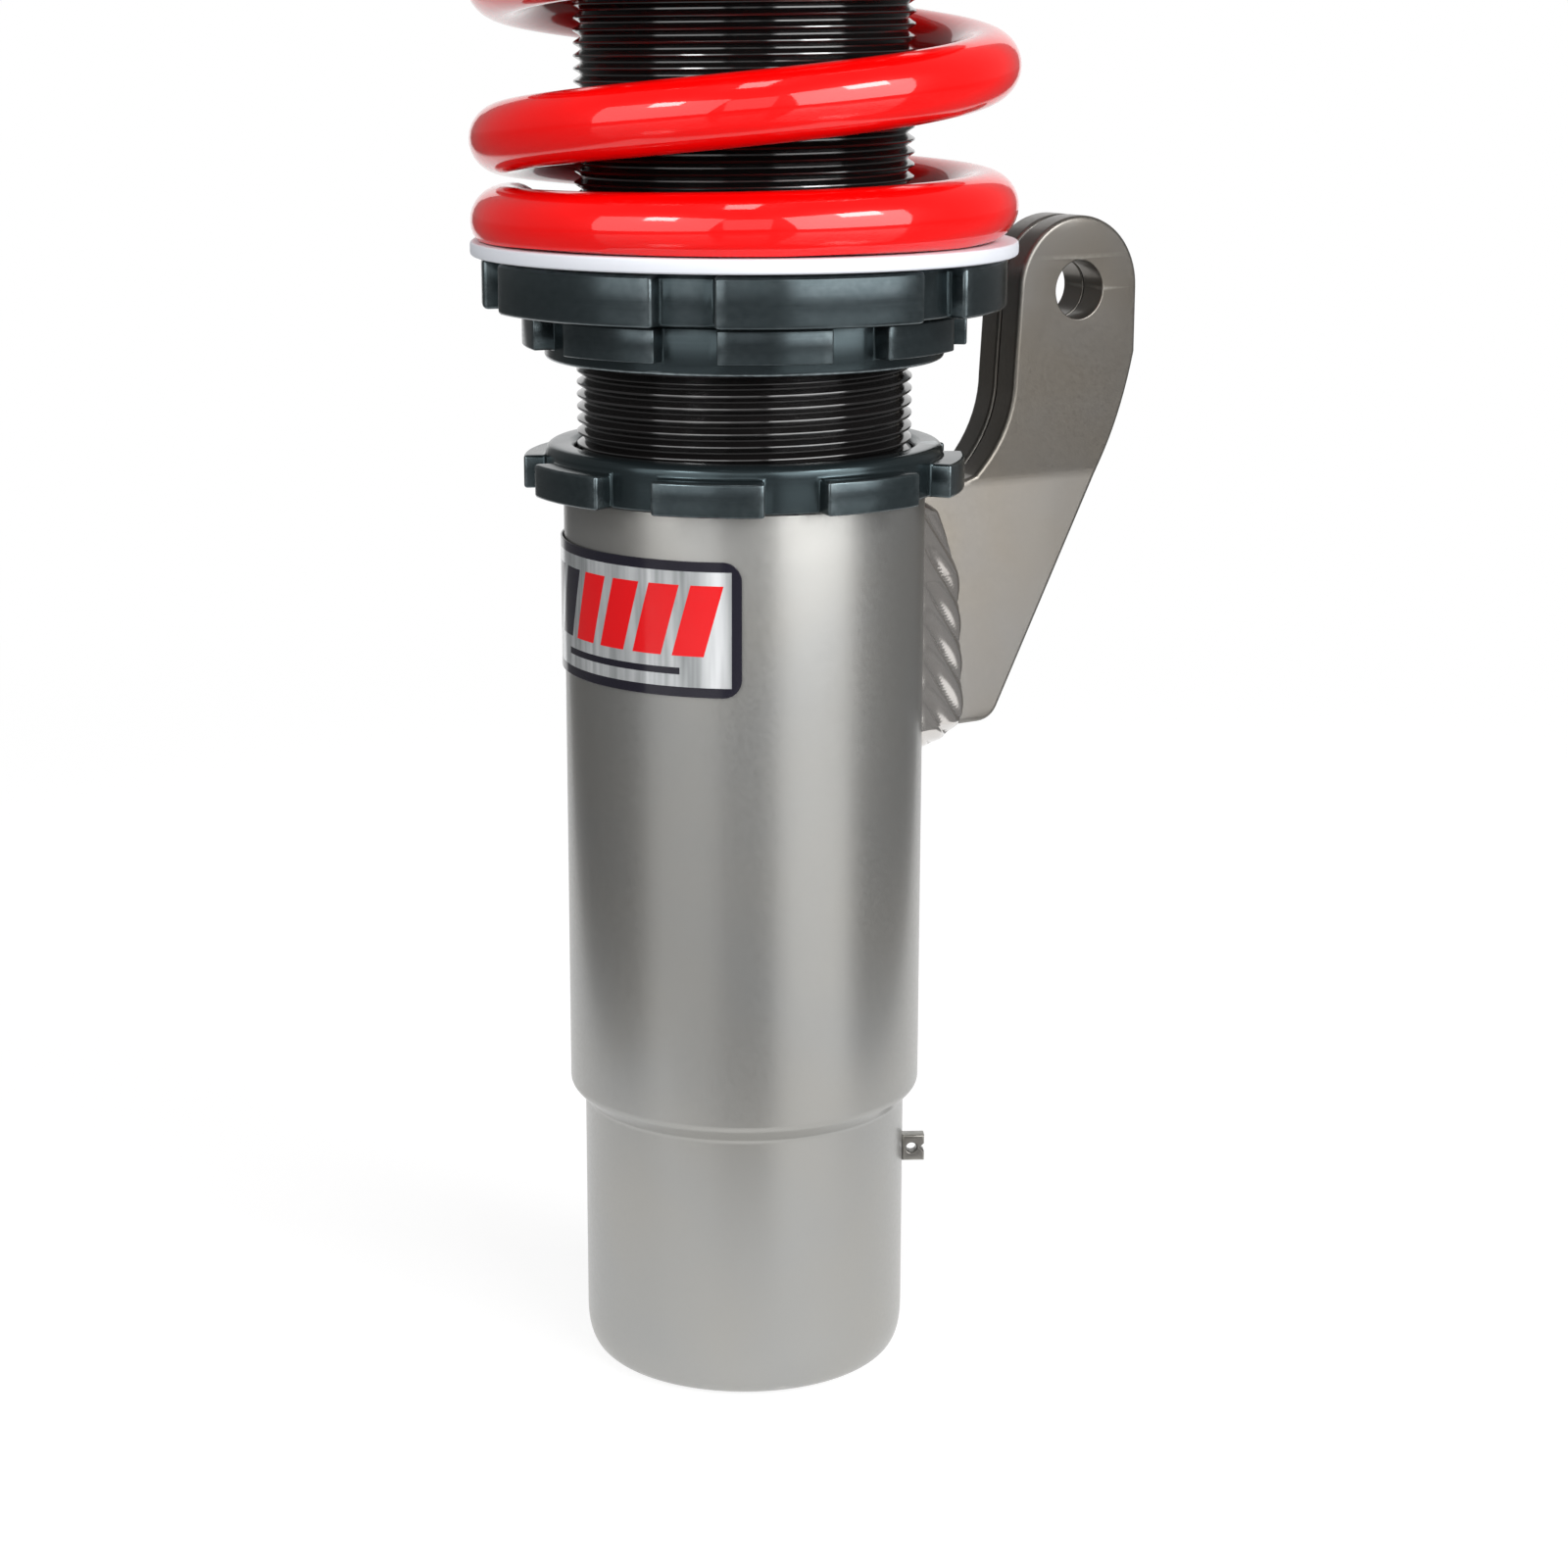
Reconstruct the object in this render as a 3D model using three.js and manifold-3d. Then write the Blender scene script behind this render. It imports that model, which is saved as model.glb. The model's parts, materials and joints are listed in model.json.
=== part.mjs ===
// A height-adjustable coilover strut, lower end standing on z = 0, +Z towards the car body, millimetres.
// The drop link bracket points along +X, and its bolt lies along Y.
import * as THREE from "three";
import { mergeVertices } from "three/addons/utils/BufferGeometryUtils.js";
import Module from "manifold-3d";

const wasm = await Module();
wasm.setup();

// ---------------------------------------------------------------- driving dimensions

const GAP = 0.3; // clearance kept between faces that touch on the real strut
const PAST = 1; // how far a cutting tool reaches past the face that it opens
const SUNK = 2; // how deep a lug's root sits inside the ring that carries it
const BIG_SIDES = 28; // sides of the large round pieces
const MID_SIDES = 18; // sides of what is inside the damper
const BALL_SIDES = 24; // sides of the spherical bearing
const SPHERE_STEPS = 5; // facets of its spheres from bottom to top
const SMALL_SIDES = 12; // sides of bolts, nuts and valves

const THREAD_RADIUS = 27.5; // 55 mm thread with a 2 mm pitch
const THREAD_BORE = 27.8; // what screws onto it or around it
const HOUSING = {
  slip: 27.35, // what the wheel carrier clamps
  sleeve: 29.85,
  slipTop: 45.8,
  sleeveBottom: 48.5,
  top: 150.3,
  footRound: 5.5,
  hollow: 23.5,
  shelf: 50, // the threaded bore ends here
};
const BASE = { radius: 20.7, height: 6 };

const LINK_HOLE = { x: 64.6, z: 180.2, radius: 5 };
const LUG_RADIUS = 12.6;
const PLATE = { outer: 5.5, inner: 0.15, crease: 148.5, flare: 9.5 };
// The wing is the plate below the crease, from the tube out to its slanted edge.
const WING = {
  rootX: 27,
  top: 147.6,
  bottom: 108.2,
  footX: 39.6,
  cornerX: 44,
  cornerZ: 110.3,
  shoulderX: 69.4,
};
// The waist joins the wing to the lug, concave on the tube's side and convex on the far side.
const WAIST = {
  filletX: 36,
  x: 43.3,
  z: 149.7,
  neckX: 51.1,
  neckZ: 166,
  bulgeX: 74.6,
  bulgeZ: 157.1,
  hipZ: 169,
};
// The weld fills the corner between a plate and the tube, and its face bulges a little.
const WELD = {
  low: 108.6,
  high: 147,
  plateLeg: 8.8, // how far it reaches along the plate
  tubeLeg: 7.2, // and round the tube
  edge: 0.7, // thickness at the plate's end
  edgeX: 2.3,
  bulgeX: 4.2,
  bulgeY: 4.6,
  depth: 5, // how far its section goes into the tube before it is cut back
  sunk: 2, // and into the plate
  steps: 4,
};
const TAB = {
  azimuth: -30,
  low: 32.6,
  high: 37.2,
  reach: 31.2,
  width: 2.6,
  hole: 0.9,
  holeShare: 0.42, // how far out along the tab its hole is
  notch: 1.2,
};
const LABEL = { right: -122.7, sweep: 144, low: 121, high: 142.8, inner: 30.12, outer: 30.42 };

const LOCK_RING = {
  radius: 32.67,
  lugRadius: 36.3,
  height: 7.6,
  lugHeight: 5.4,
  lugs: 8,
  lugDegrees: 29,
  chamfer: 0.9,
};
const HEIGHT_RING = { bottom: 150.6, lugAngle: -131.4 };
const SEAT_RING = { bottom: 172.0, lugAngle: -114.2 };
const PERCH = { bottom: 180.2, top: 188.3, radius: 42.7, root: 39.5, chamfer: 0.6 };
const PERCH_LUGS = { count: 6, degrees: 47, angle: -104.7 };
const PERCH_HUB = { radius: 32.4, top: 197.5, chamfer: 1 };
const WASHER = { bottom: 188.6, top: 190.9, radius: 44.45, bore: 32.8, chamfer: 0.4 };

const SPRING = {
  bottom: 191.2,
  length: 199.6,
  meanRadius: 38.75,
  wireRadius: 5.6,
  turns: 9,
  closedTurns: 0.65,
  tipHeight: 2.8,
  closedHeight: 6.2,
  tipAzimuth: 137,
  steps: 18, // a turn
  sides: 8, // round the wire
};

const BODY = { bottom: 75, top: 296, bore: 23, chamfer: 1.2 };
const INSIDE = 22.7; // outer radius of what fits the damper's bore
const END_CAP_TOP = 85;
const VALVE = { bottom: 70, neck: 73, top: 84.5, stemRadius: 2.6, radius: 4 };
const FLOATING_PISTON = { bottom: 108, top: 122, seal: 115.2, dishRim: 16, dishFloor: 14, dishDepth: 4 };
const PISTON = {
  bottom: 250,
  top: 262,
  bandLow: 253,
  bandHigh: 259,
  radius: 22.3,
  groove: 21,
  ports: 6,
  portCircle: 13,
  port: 1.6,
};
const SHIMS = { wide: 17, narrow: 11, thickness: 0.8 };
const PISTON_NUT = { acrossFlats: 17, height: 8, below: 2.2 };
const ROD = {
  tip: 236,
  shoulder: 264.3,
  radius: 11,
  seat: 393.4,
  stud: 7,
  end: 446,
  endChamfer: 1,
  pistonStud: 5,
  bore: 3.2,
};
const NEEDLE = { aboveTip: 2, tipRadius: 0.8, length: 6 };
const GUIDE = { bottom: 270, top: 284, seal: 277 };
const O_RING = { middle: 21.4, radius: 1.25, groove: 20, halfWidth: 1.6 };
const GLAND = {
  bottom: 289.3,
  neckTop: 296.3,
  top: 300.5,
  flange: 27.2,
  chamfer: 1,
  recess: 16.3,
  recessFloor: 294.5,
};
const WIPER = { lipHeight: 2, lipWall: 1.4 };
const BOOT = {
  bottom: 290,
  top: 393.1,
  ridge: 31.8,
  valley: 29.6,
  wall: 1.5,
  pleats: 5,
  collar: 30.2,
  rim: 22,
};
// The rod's travel ends on it.
const BUMP_STOP = { bottom: 368, top: 393.1, ridge: 21, valley: 18.4, pleats: 3 };

const UPPER_SEAT = {
  bottom: 393.7,
  top: 399,
  radius: 44.4,
  chamfer: 1.5,
  skirt: 32.6,
  skirtWall: 1.9,
  skirtBottom: 386,
};
const BALL_SPACER = { foot: 12, footHeight: 2, neck: 9.6, neckHeight: 4 };
const ISOLATOR = { bottom: 391.1, top: 393.4, bore: 33 };
const BALL = { centre: 416, radius: 14, halfHeight: 8.7 };
const LINER = { inner: 14.3, outer: 15.3, halfHeight: 6.5 };
const RACE = { inner: 15.6, outer: 20, halfHeight: 6.8 };
const SLIDER = {
  bottom: 407.6,
  top: 417.8,
  halfX: 28,
  halfY: 41,
  corner: 8,
  boss: 24,
  bossTop: 427,
  bore: 20.3,
  lip: 17.5,
};
const CLIP = { bottom: 423.3, top: 424.7, inner: 16.8, outer: 21.3, opening: 30 };
const CAMBER = { bottom: 418.1, top: 426.1, radius: 64, travel: 8.1, chamfer: 1.2, sides: 36 };
const CAMBER_SCREW = {
  x: 20,
  y: 33,
  radius: 4,
  head: 6.5,
  headHeight: 8,
  bottom: 409,
  socket: 6,
  socketDepth: 4,
  sides: 16,
};
const STUD = { circle: 52, radius: 4, head: 7, headHeight: 3.2, top: 448, chamfer: 1, sides: 16 };
const CLEARANCE_HOLE = 4.4;
const WINDOW_CLEARANCE = 0.5; // round the slider's boss in the camber plate
const STUD_NUT = { acrossFlats: 13, flange: 8.5, flangeHeight: 1.8, height: 8.6, sides: 20 };
const TOP_NUT = { bottom: 427.7, top: 438.7, acrossFlats: 22, washerRadius: 12 };
const KNOB = { bottom: 446.4, top: 457, radius: 8, flute: 0.5, flutes: 12, socket: 3.1, socketTop: 451 };

// ---------------------------------------------------------------- finishes

const finish = (color, roughness, metalness) => ({ color, roughness, metalness });
const TITANIUM = finish(0x8a8882, 0.4, 0.85);
const BRACKET_STEEL = finish(0x96928a, 0.38, 0.85);
const GUNMETAL = finish(0x373e42, 0.45, 0.7);
const BLACK_THREAD = finish(0x1c1b1b, 0.45, 0.5);
const SPRING_RED = finish(0xfe0002, 0.2, 0);
const WHITE_NYLON = finish(0xf5f7fc, 0.5, 0);
const FOIL = finish(0xc9ccd0, 0.2, 0.9);
const CHROME = finish(0xdadcde, 0.1, 1);
const STEEL = finish(0xa9abad, 0.35, 0.9);
const BRASS = finish(0xb08d4a, 0.35, 0.9);
const RUBBER = finish(0x17171a, 0.8, 0);
const FOAM = finish(0xd8b64a, 0.7, 0);
const PTFE = finish(0x6b5a46, 0.6, 0);

// ---------------------------------------------------------------- shape helpers

const radians = (degrees) => (degrees * Math.PI) / 180;
const polar = (radius, degrees) => [radius * Math.cos(radians(degrees)), radius * Math.sin(radians(degrees))];

// A round piece about Z from its half section, given as [radius, z] points that run up the outside.
function turned(section, sides) {
  const profile = section.map(([radius, z]) => new THREE.Vector2(radius, z));
  return new THREE.LatheGeometry(profile, sides).rotateX(Math.PI / 2);
}

// A turned ring: its section is closed back to its first point.
const turnedRing = (section, sides) => turned([...section, section[0]], sides);

// A plain ring with square edges.
function plainRing(inner, outer, bottom, top, sides) {
  return turnedRing([[inner, bottom], [outer, bottom], [outer, top], [inner, top]], sides);
}

// A ring of square edges with both outer corners cut at 45 degrees.
function chamferedRing(inner, outer, bottom, top, cut, sides) {
  return turnedRing(
    [
      [inner, bottom],
      [outer - cut, bottom],
      [outer, bottom + cut],
      [outer, top - cut],
      [outer - cut, top],
      [inner, top],
    ],
    sides,
  );
}

function cylinder(radius, bottom, top, sides) {
  return turned([[0, bottom], [radius, bottom], [radius, top], [0, top]], sides);
}

// The outline's extrusion upwards from bottom to top.
function slab(shape, bottom, top, curveSegments = 8) {
  const depth = top - bottom;
  const geometry = new THREE.ExtrudeGeometry(shape, { depth, bevelEnabled: false, curveSegments });
  return geometry.translate(0, 0, bottom);
}

function polygonShape(points) {
  return new THREE.Shape(points.map(([x, y]) => new THREE.Vector2(x, y)));
}

function hexagonShape(acrossFlats) {
  const corner = acrossFlats / Math.sqrt(3);
  return polygonShape([0, 1, 2, 3, 4, 5].map((side) => polar(corner, side * 60)));
}

// A slot with round ends along X, centred on x, y.
function slotShape(x, y, radius, halfTravel) {
  const shape = new THREE.Shape();
  shape.absarc(x + halfTravel, y, radius, -Math.PI / 2, Math.PI / 2, false);
  shape.absarc(x - halfTravel, y, radius, Math.PI / 2, (3 * Math.PI) / 2, false);
  shape.closePath();
  return shape;
}

// A block that spans part of a ring.
function ringSector(inner, outer, middleDegrees, widthDegrees, bottom, top) {
  const steps = 4; // facets of its curved sides
  const points = [];
  for (let step = 0; step <= steps; step++) {
    points.push(polar(outer, middleDegrees + widthDegrees * (step / steps - 0.5)));
  }
  for (let step = steps; step >= 0; step--) {
    points.push(polar(inner, middleDegrees + widthDegrees * (step / steps - 0.5)));
  }
  return slab(polygonShape(points), bottom, top);
}

// Closed geometry to a solid that can be joined and cut, and back.
function solid(geometry) {
  const bare = geometry.clone();
  bare.deleteAttribute("normal");
  bare.deleteAttribute("uv");
  const merged = mergeVertices(bare, 1e-4);
  const vertProperties = new Float32Array(merged.getAttribute("position").array);
  const triVerts = new Uint32Array(merged.index.array);
  return new wasm.Manifold(new wasm.Mesh({ numProp: 3, vertProperties, triVerts }));
}

function geometryOf(manifold) {
  const { vertProperties, triVerts } = manifold.getMesh();
  const geometry = new THREE.BufferGeometry();
  geometry.setAttribute("position", new THREE.BufferAttribute(new Float32Array(vertProperties), 3));
  geometry.setIndex(new THREE.BufferAttribute(new Uint32Array(triVerts), 1));
  geometry.computeVertexNormals();
  return geometry;
}

function joined(...geometries) {
  return geometryOf(geometries.map(solid).reduce((whole, piece) => whole.add(piece)));
}

function cut(geometry, ...tools) {
  return geometryOf(tools.map(solid).reduce((whole, tool) => whole.subtract(tool), solid(geometry)));
}

const part = new THREE.Group();

function place(name, geometry, material) {
  const mesh = new THREE.Mesh(geometry, new THREE.MeshStandardMaterial(material));
  mesh.name = name;
  part.add(mesh);
  return mesh;
}

// ---------------------------------------------------------------- lower housing

function housingGeometry() {
  const round = HOUSING.footRound;
  const foot = [0, 45, 90].map((degrees) => [
    HOUSING.slip - round + round * Math.sin(radians(degrees)),
    round - round * Math.cos(radians(degrees)),
  ]);
  return turnedRing(
    [
      [BASE.radius + GAP, 0],
      ...foot,
      [HOUSING.slip, HOUSING.slipTop],
      [HOUSING.sleeve, HOUSING.sleeveBottom],
      [HOUSING.sleeve, HOUSING.top],
      [THREAD_BORE, HOUSING.top],
      [THREAD_BORE, HOUSING.shelf],
      [HOUSING.hollow, HOUSING.shelf],
      [HOUSING.hollow, BASE.height + GAP],
      [BASE.radius + GAP, BASE.height + GAP],
    ],
    BIG_SIDES,
  );
}

function locatingTab() {
  const height = TAB.high - TAB.low;
  const start = HOUSING.slip + GAP;
  const tab = new THREE.BoxGeometry(TAB.reach - start, TAB.width, height);
  tab.translate((start + TAB.reach) / 2, 0, (TAB.low + TAB.high) / 2);
  const middle = start + (TAB.reach - start) * TAB.holeShare;
  const hole = new THREE.CylinderGeometry(TAB.hole, TAB.hole, TAB.width * 2, SMALL_SIDES);
  hole.translate(middle, 0, (TAB.low + TAB.high) / 2);
  const notch = new THREE.BoxGeometry(TAB.notch, TAB.width * 2, TAB.notch);
  notch.rotateY(Math.PI / 4).translate(TAB.reach, 0, (TAB.low + TAB.high) / 2);
  return cut(tab, hole, notch).rotateZ(radians(TAB.azimuth));
}

function labelPlate() {
  const steps = 36;
  const points = [];
  const azimuth = (step) => LABEL.right - (LABEL.sweep * step) / steps;
  for (let step = 0; step <= steps; step++) points.push(polar(LABEL.inner, azimuth(step)));
  for (let step = steps; step >= 0; step--) points.push(polar(LABEL.outer, azimuth(step)));
  return slab(polygonShape(points), LABEL.low, LABEL.high);
}

function buildHousing() {
  place("lower_housing", housingGeometry(), TITANIUM);
  place("housing_base", cylinder(BASE.radius, 0, BASE.height, BIG_SIDES), TITANIUM);
  place("locating_tab", locatingTab(), BRACKET_STEEL);
  place("label_plate", labelPlate(), FOIL);
}

// ---------------------------------------------------------------- drop link bracket

// The plate's outline in X and Z: a round lug, a waist, and a wing that reaches back to the tube.
function plateOutline() {
  const { x, z } = LINK_HOLE;
  const outline = new THREE.Shape();
  outline.moveTo(x - LUG_RADIUS, z);
  outline.lineTo(WAIST.neckX, WAIST.neckZ);
  outline.quadraticCurveTo(WAIST.neckX, (WAIST.neckZ + WING.top) / 2, WAIST.x, WAIST.z);
  outline.quadraticCurveTo((WAIST.x + WAIST.filletX) / 2, PLATE.crease, WAIST.filletX, WING.top);
  outline.lineTo(WING.rootX, WING.top);
  outline.lineTo(WING.rootX, WING.bottom);
  outline.lineTo(WING.footX, WING.bottom);
  outline.quadraticCurveTo((WING.footX + 2 * WING.cornerX) / 3, WING.bottom, WING.cornerX, WING.cornerZ);
  outline.lineTo(WING.shoulderX, PLATE.crease);
  outline.quadraticCurveTo(WAIST.bulgeX, WAIST.bulgeZ, x + LUG_RADIUS, WAIST.hipZ);
  outline.lineTo(x + LUG_RADIUS, z);
  outline.absarc(x, z, LUG_RADIUS, 0, Math.PI, false);
  return outline;
}

// One plate on the given side of the bracket's middle plane. Below the crease it leans outwards, to embrace
// the tube. spread thickens it outwards, for cutting its neighbour back.
function plateSolid(side, spread) {
  const depth = PLATE.outer - PLATE.inner + spread;
  const flat = new THREE.ExtrudeGeometry(plateOutline(), { depth, bevelEnabled: false, curveSegments: 7 });
  flat.rotateX(Math.PI / 2).translate(0, side > 0 ? PLATE.outer + spread : -PLATE.inner, 0);
  const whole = solid(flat);
  const reach = 200; // larger than the whole bracket
  const above = solid(new THREE.BoxGeometry(reach, reach, reach).translate(0, 0, PLATE.crease + reach / 2));
  const lean = Math.tan(radians(PLATE.flare));
  const shear = new THREE.Matrix4().makeShear(0, 0, 0, 0, 0, -side * lean);
  const leaning = geometryOf(whole.subtract(above));
  leaning.applyMatrix4(shear).translate(0, side * lean * PLATE.crease, 0);
  return whole.intersect(above).add(solid(leaning));
}

function tubeClearance() {
  return solid(cylinder(HOUSING.sleeve + GAP, HOUSING.sleeveBottom, WASHER.top, BIG_SIDES * 2));
}

function linkPlate(side) {
  const depth = 4 * PLATE.outer;
  const hole = new THREE.CylinderGeometry(LINK_HOLE.radius, LINK_HOLE.radius, depth, BALL_SIDES);
  hole.translate(LINK_HOLE.x, 0, LINK_HOLE.z);
  return geometryOf(plateSolid(side, 0).subtract(tubeClearance()).subtract(solid(hole)));
}

// The fillet of weld in the corner between the plate's outer face and the tube.
function weldBead(side) {
  const lean = Math.tan(radians(PLATE.flare));
  const cornerAt = (z) => {
    const y = PLATE.outer + lean * (PLATE.crease - z);
    return [Math.sqrt(HOUSING.sleeve ** 2 - y ** 2), side * y];
  };
  const [footX, footY] = cornerAt(WELD.low);
  const [topX, topY] = cornerAt(WELD.high);
  const height = WELD.high - WELD.low;
  const section = new THREE.Shape();
  section.moveTo(-WELD.depth, -side * WELD.sunk);
  section.lineTo(WELD.plateLeg, -side * WELD.sunk);
  section.lineTo(WELD.plateLeg, side * WELD.edge);
  section.quadraticCurveTo(WELD.bulgeX, side * WELD.bulgeY, -WELD.edgeX, side * WELD.tubeLeg);
  section.lineTo(-WELD.depth, side * WELD.tubeLeg);
  const bead = new THREE.ExtrudeGeometry(section, {
    depth: height,
    bevelEnabled: false,
    curveSegments: WELD.steps,
  });
  const shear = new THREE.Matrix4().makeShear(0, 0, 0, 0, (topX - footX) / height, (topY - footY) / height);
  bead.applyMatrix4(shear).translate(footX, footY, WELD.low);
  return geometryOf(solid(bead).subtract(tubeClearance()).subtract(plateSolid(side, GAP)));
}

function buildBracket() {
  place("link_bracket_front", linkPlate(-1), BRACKET_STEEL);
  place("link_bracket_rear", linkPlate(1), BRACKET_STEEL);
  place("bracket_weld_front", weldBead(-1), BRACKET_STEEL);
  place("bracket_weld_rear", weldBead(1), BRACKET_STEEL);
}

// ---------------------------------------------------------------- rings, perch and washer

// Blocks evenly round a ring, the first one at the given azimuth.
function lugs(count, degrees, firstAzimuth, inner, outer, bottom, top) {
  return Array.from({ length: count }, (_, index) =>
    ringSector(inner, outer, firstAzimuth + (index * 360) / count, degrees, bottom, top),
  );
}

// A lock ring with eight lugs for a hook spanner, flush with its top or with its bottom face.
function lockRing(bottom, firstLug, lugsAtTop) {
  const top = bottom + LOCK_RING.height;
  const body = chamferedRing(THREAD_BORE, LOCK_RING.radius, bottom, top, LOCK_RING.chamfer, BIG_SIDES);
  const lugBottom = lugsAtTop ? top - LOCK_RING.lugHeight : bottom;
  const lugTop = lugBottom + LOCK_RING.lugHeight;
  const { radius, lugRadius, lugs: count, lugDegrees } = LOCK_RING;
  const blocks = lugs(count, lugDegrees, firstLug, radius - SUNK, lugRadius, lugBottom, lugTop);
  return joined(body, ...blocks);
}

function perch() {
  const body = turnedRing(
    [
      [THREAD_BORE, PERCH.bottom],
      [PERCH.root - PERCH.chamfer, PERCH.bottom],
      [PERCH.root, PERCH.bottom + PERCH.chamfer],
      [PERCH.root, PERCH.top],
      [PERCH_HUB.radius, PERCH.top],
      [PERCH_HUB.radius, PERCH_HUB.top - PERCH_HUB.chamfer],
      [PERCH_HUB.radius - PERCH_HUB.chamfer, PERCH_HUB.top],
      [THREAD_BORE, PERCH_HUB.top],
    ],
    BIG_SIDES,
  );
  const { bottom, top, radius, root } = PERCH;
  const { count, degrees, angle } = PERCH_LUGS;
  return joined(body, ...lugs(count, degrees, angle, root - SUNK, radius, bottom, top));
}

function buildRings() {
  place("height_lock_ring", lockRing(HEIGHT_RING.bottom, HEIGHT_RING.lugAngle, false), GUNMETAL);
  place("seat_lock_ring", lockRing(SEAT_RING.bottom, SEAT_RING.lugAngle, true), GUNMETAL);
  place("spring_perch", perch(), GUNMETAL);
  const { bore, radius, bottom, top, chamfer } = WASHER;
  place("spring_washer", chamferedRing(bore, radius, bottom, top, chamfer, BIG_SIDES), WHITE_NYLON);
}

// ---------------------------------------------------------------- main spring

// Height of the wire's centre above the spring's foot, turns turns from the lower tip.
function wireHeight(turns) {
  if (turns > SPRING.turns / 2) return SPRING.length - wireHeight(SPRING.turns - turns);
  const { closedTurns, tipHeight, closedHeight, length } = SPRING;
  if (turns < closedTurns) {
    const share = turns / closedTurns;
    return tipHeight + (closedHeight - tipHeight) * (share + share * share) * 0.5;
  }
  const pitch = (length - 2 * closedHeight) / (SPRING.turns - 2 * closedTurns);
  return closedHeight + pitch * (turns - closedTurns);
}

function wireCentre(turns) {
  const [x, y] = polar(SPRING.meanRadius, SPRING.tipAzimuth + turns * 360);
  return new THREE.Vector3(x, y, SPRING.bottom + wireHeight(turns));
}

// The least distance between the wire's surface and itself half a turn or more on, from its centre line.
function leastSpringGap() {
  const samples = Math.round(SPRING.turns * SPRING.steps * 2);
  const points = Array.from({ length: samples + 1 }, (_, i) => wireCentre((SPRING.turns * i) / samples));
  const halfTurn = SPRING.steps;
  let least = Infinity;
  for (let i = 0; i <= samples; i++) {
    for (let j = i + halfTurn; j <= samples; j++) least = Math.min(least, points[i].distanceTo(points[j]));
  }
  return least - 2 * SPRING.wireRadius;
}

// One unbroken right-handed tube, with both ends ground flat.
function springGeometry() {
  const { turns, steps, sides, wireRadius, meanRadius } = SPRING;
  const rings = Math.round(turns * steps);
  const positions = [];
  const index = [];
  for (let ring = 0; ring <= rings; ring++) {
    const turn = (turns * ring) / rings;
    const centre = wireCentre(turn);
    const azimuth = SPRING.tipAzimuth + turn * 360;
    for (let side = 0; side < sides; side++) {
      const angle = (side * 360) / sides;
      const [x, y] = polar(meanRadius + wireRadius * Math.cos(radians(angle)), azimuth);
      positions.push(x, y, centre.z + wireRadius * Math.sin(radians(angle)));
    }
  }
  for (let ring = 0; ring < rings; ring++) {
    for (let side = 0; side < sides; side++) {
      const next = (side + 1) % sides;
      const a = ring * sides + side;
      const b = ring * sides + next;
      index.push(a, a + sides, b, b, a + sides, b + sides);
    }
  }
  for (let side = 1; side < sides - 1; side++) {
    const last = rings * sides;
    index.push(0, side, side + 1);
    index.push(last, last + side + 1, last + side);
  }
  const tube = new THREE.BufferGeometry();
  tube.setAttribute("position", new THREE.Float32BufferAttribute(positions, 3));
  tube.setIndex(index);
  const between = cylinder(2 * meanRadius, SPRING.bottom, SPRING.bottom + SPRING.length, SMALL_SIDES);
  return geometryOf(solid(tube).intersect(solid(between)));
}

function buildSpring() {
  console.log(`least gap of the spring to itself: ${leastSpringGap().toFixed(2)} mm`);
  place("main_spring", springGeometry(), SPRING_RED);
}

// ---------------------------------------------------------------- damper body and its fixed fittings

function damperBody() {
  return turnedRing(
    [
      [BODY.bore, BODY.bottom],
      [THREAD_RADIUS - BODY.chamfer, BODY.bottom],
      [THREAD_RADIUS, BODY.bottom + BODY.chamfer],
      [THREAD_RADIUS, BODY.top - BODY.chamfer],
      [THREAD_RADIUS - BODY.chamfer, BODY.top],
      [BODY.bore, BODY.top],
    ],
    BIG_SIDES,
  );
}

function oRing(z) {
  const section = [0, 60, 120, 180, 240, 300].map((degrees) => {
    const [across, up] = polar(O_RING.radius, degrees);
    return [O_RING.middle + across, z + up];
  });
  return turnedRing(section, MID_SIDES);
}

// The outside of a plug in the damper's bore, with a groove for an O-ring, as points that run upwards.
function groovedSide(bottom, top, groove) {
  return [
    [INSIDE, bottom],
    [INSIDE, groove - O_RING.halfWidth],
    [O_RING.groove, groove - O_RING.halfWidth],
    [O_RING.groove, groove + O_RING.halfWidth],
    [INSIDE, groove + O_RING.halfWidth],
    [INSIDE, top],
  ];
}

function gasValve() {
  const { bottom, neck, top, stemRadius, radius } = VALVE;
  return turned(
    [[0, bottom], [stemRadius, bottom], [stemRadius, neck], [radius, neck], [radius, top], [0, top]],
    SMALL_SIDES,
  );
}

function floatingPiston() {
  const { bottom, top, seal, dishRim, dishFloor, dishDepth } = FLOATING_PISTON;
  const dish = [[dishRim, top], [dishFloor, top - dishDepth], [0, top - dishDepth]];
  return turned([[0, bottom], ...groovedSide(bottom, top, seal), ...dish], MID_SIDES);
}

function rodGuide() {
  const { bottom, top, seal } = GUIDE;
  const bore = ROD.radius + GAP;
  return turnedRing([[bore, bottom], ...groovedSide(bottom, top, seal), [bore, top]], MID_SIDES);
}

function glandNut() {
  return turnedRing(
    [
      [ROD.radius + GAP, GLAND.bottom],
      [INSIDE, GLAND.bottom],
      [INSIDE, GLAND.neckTop],
      [GLAND.flange, GLAND.neckTop],
      [GLAND.flange, GLAND.top - GLAND.chamfer],
      [GLAND.flange - GLAND.chamfer, GLAND.top],
      [GLAND.recess, GLAND.top],
      [GLAND.recess, GLAND.recessFloor],
      [ROD.radius + GAP, GLAND.recessFloor],
    ],
    MID_SIDES,
  );
}

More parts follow.
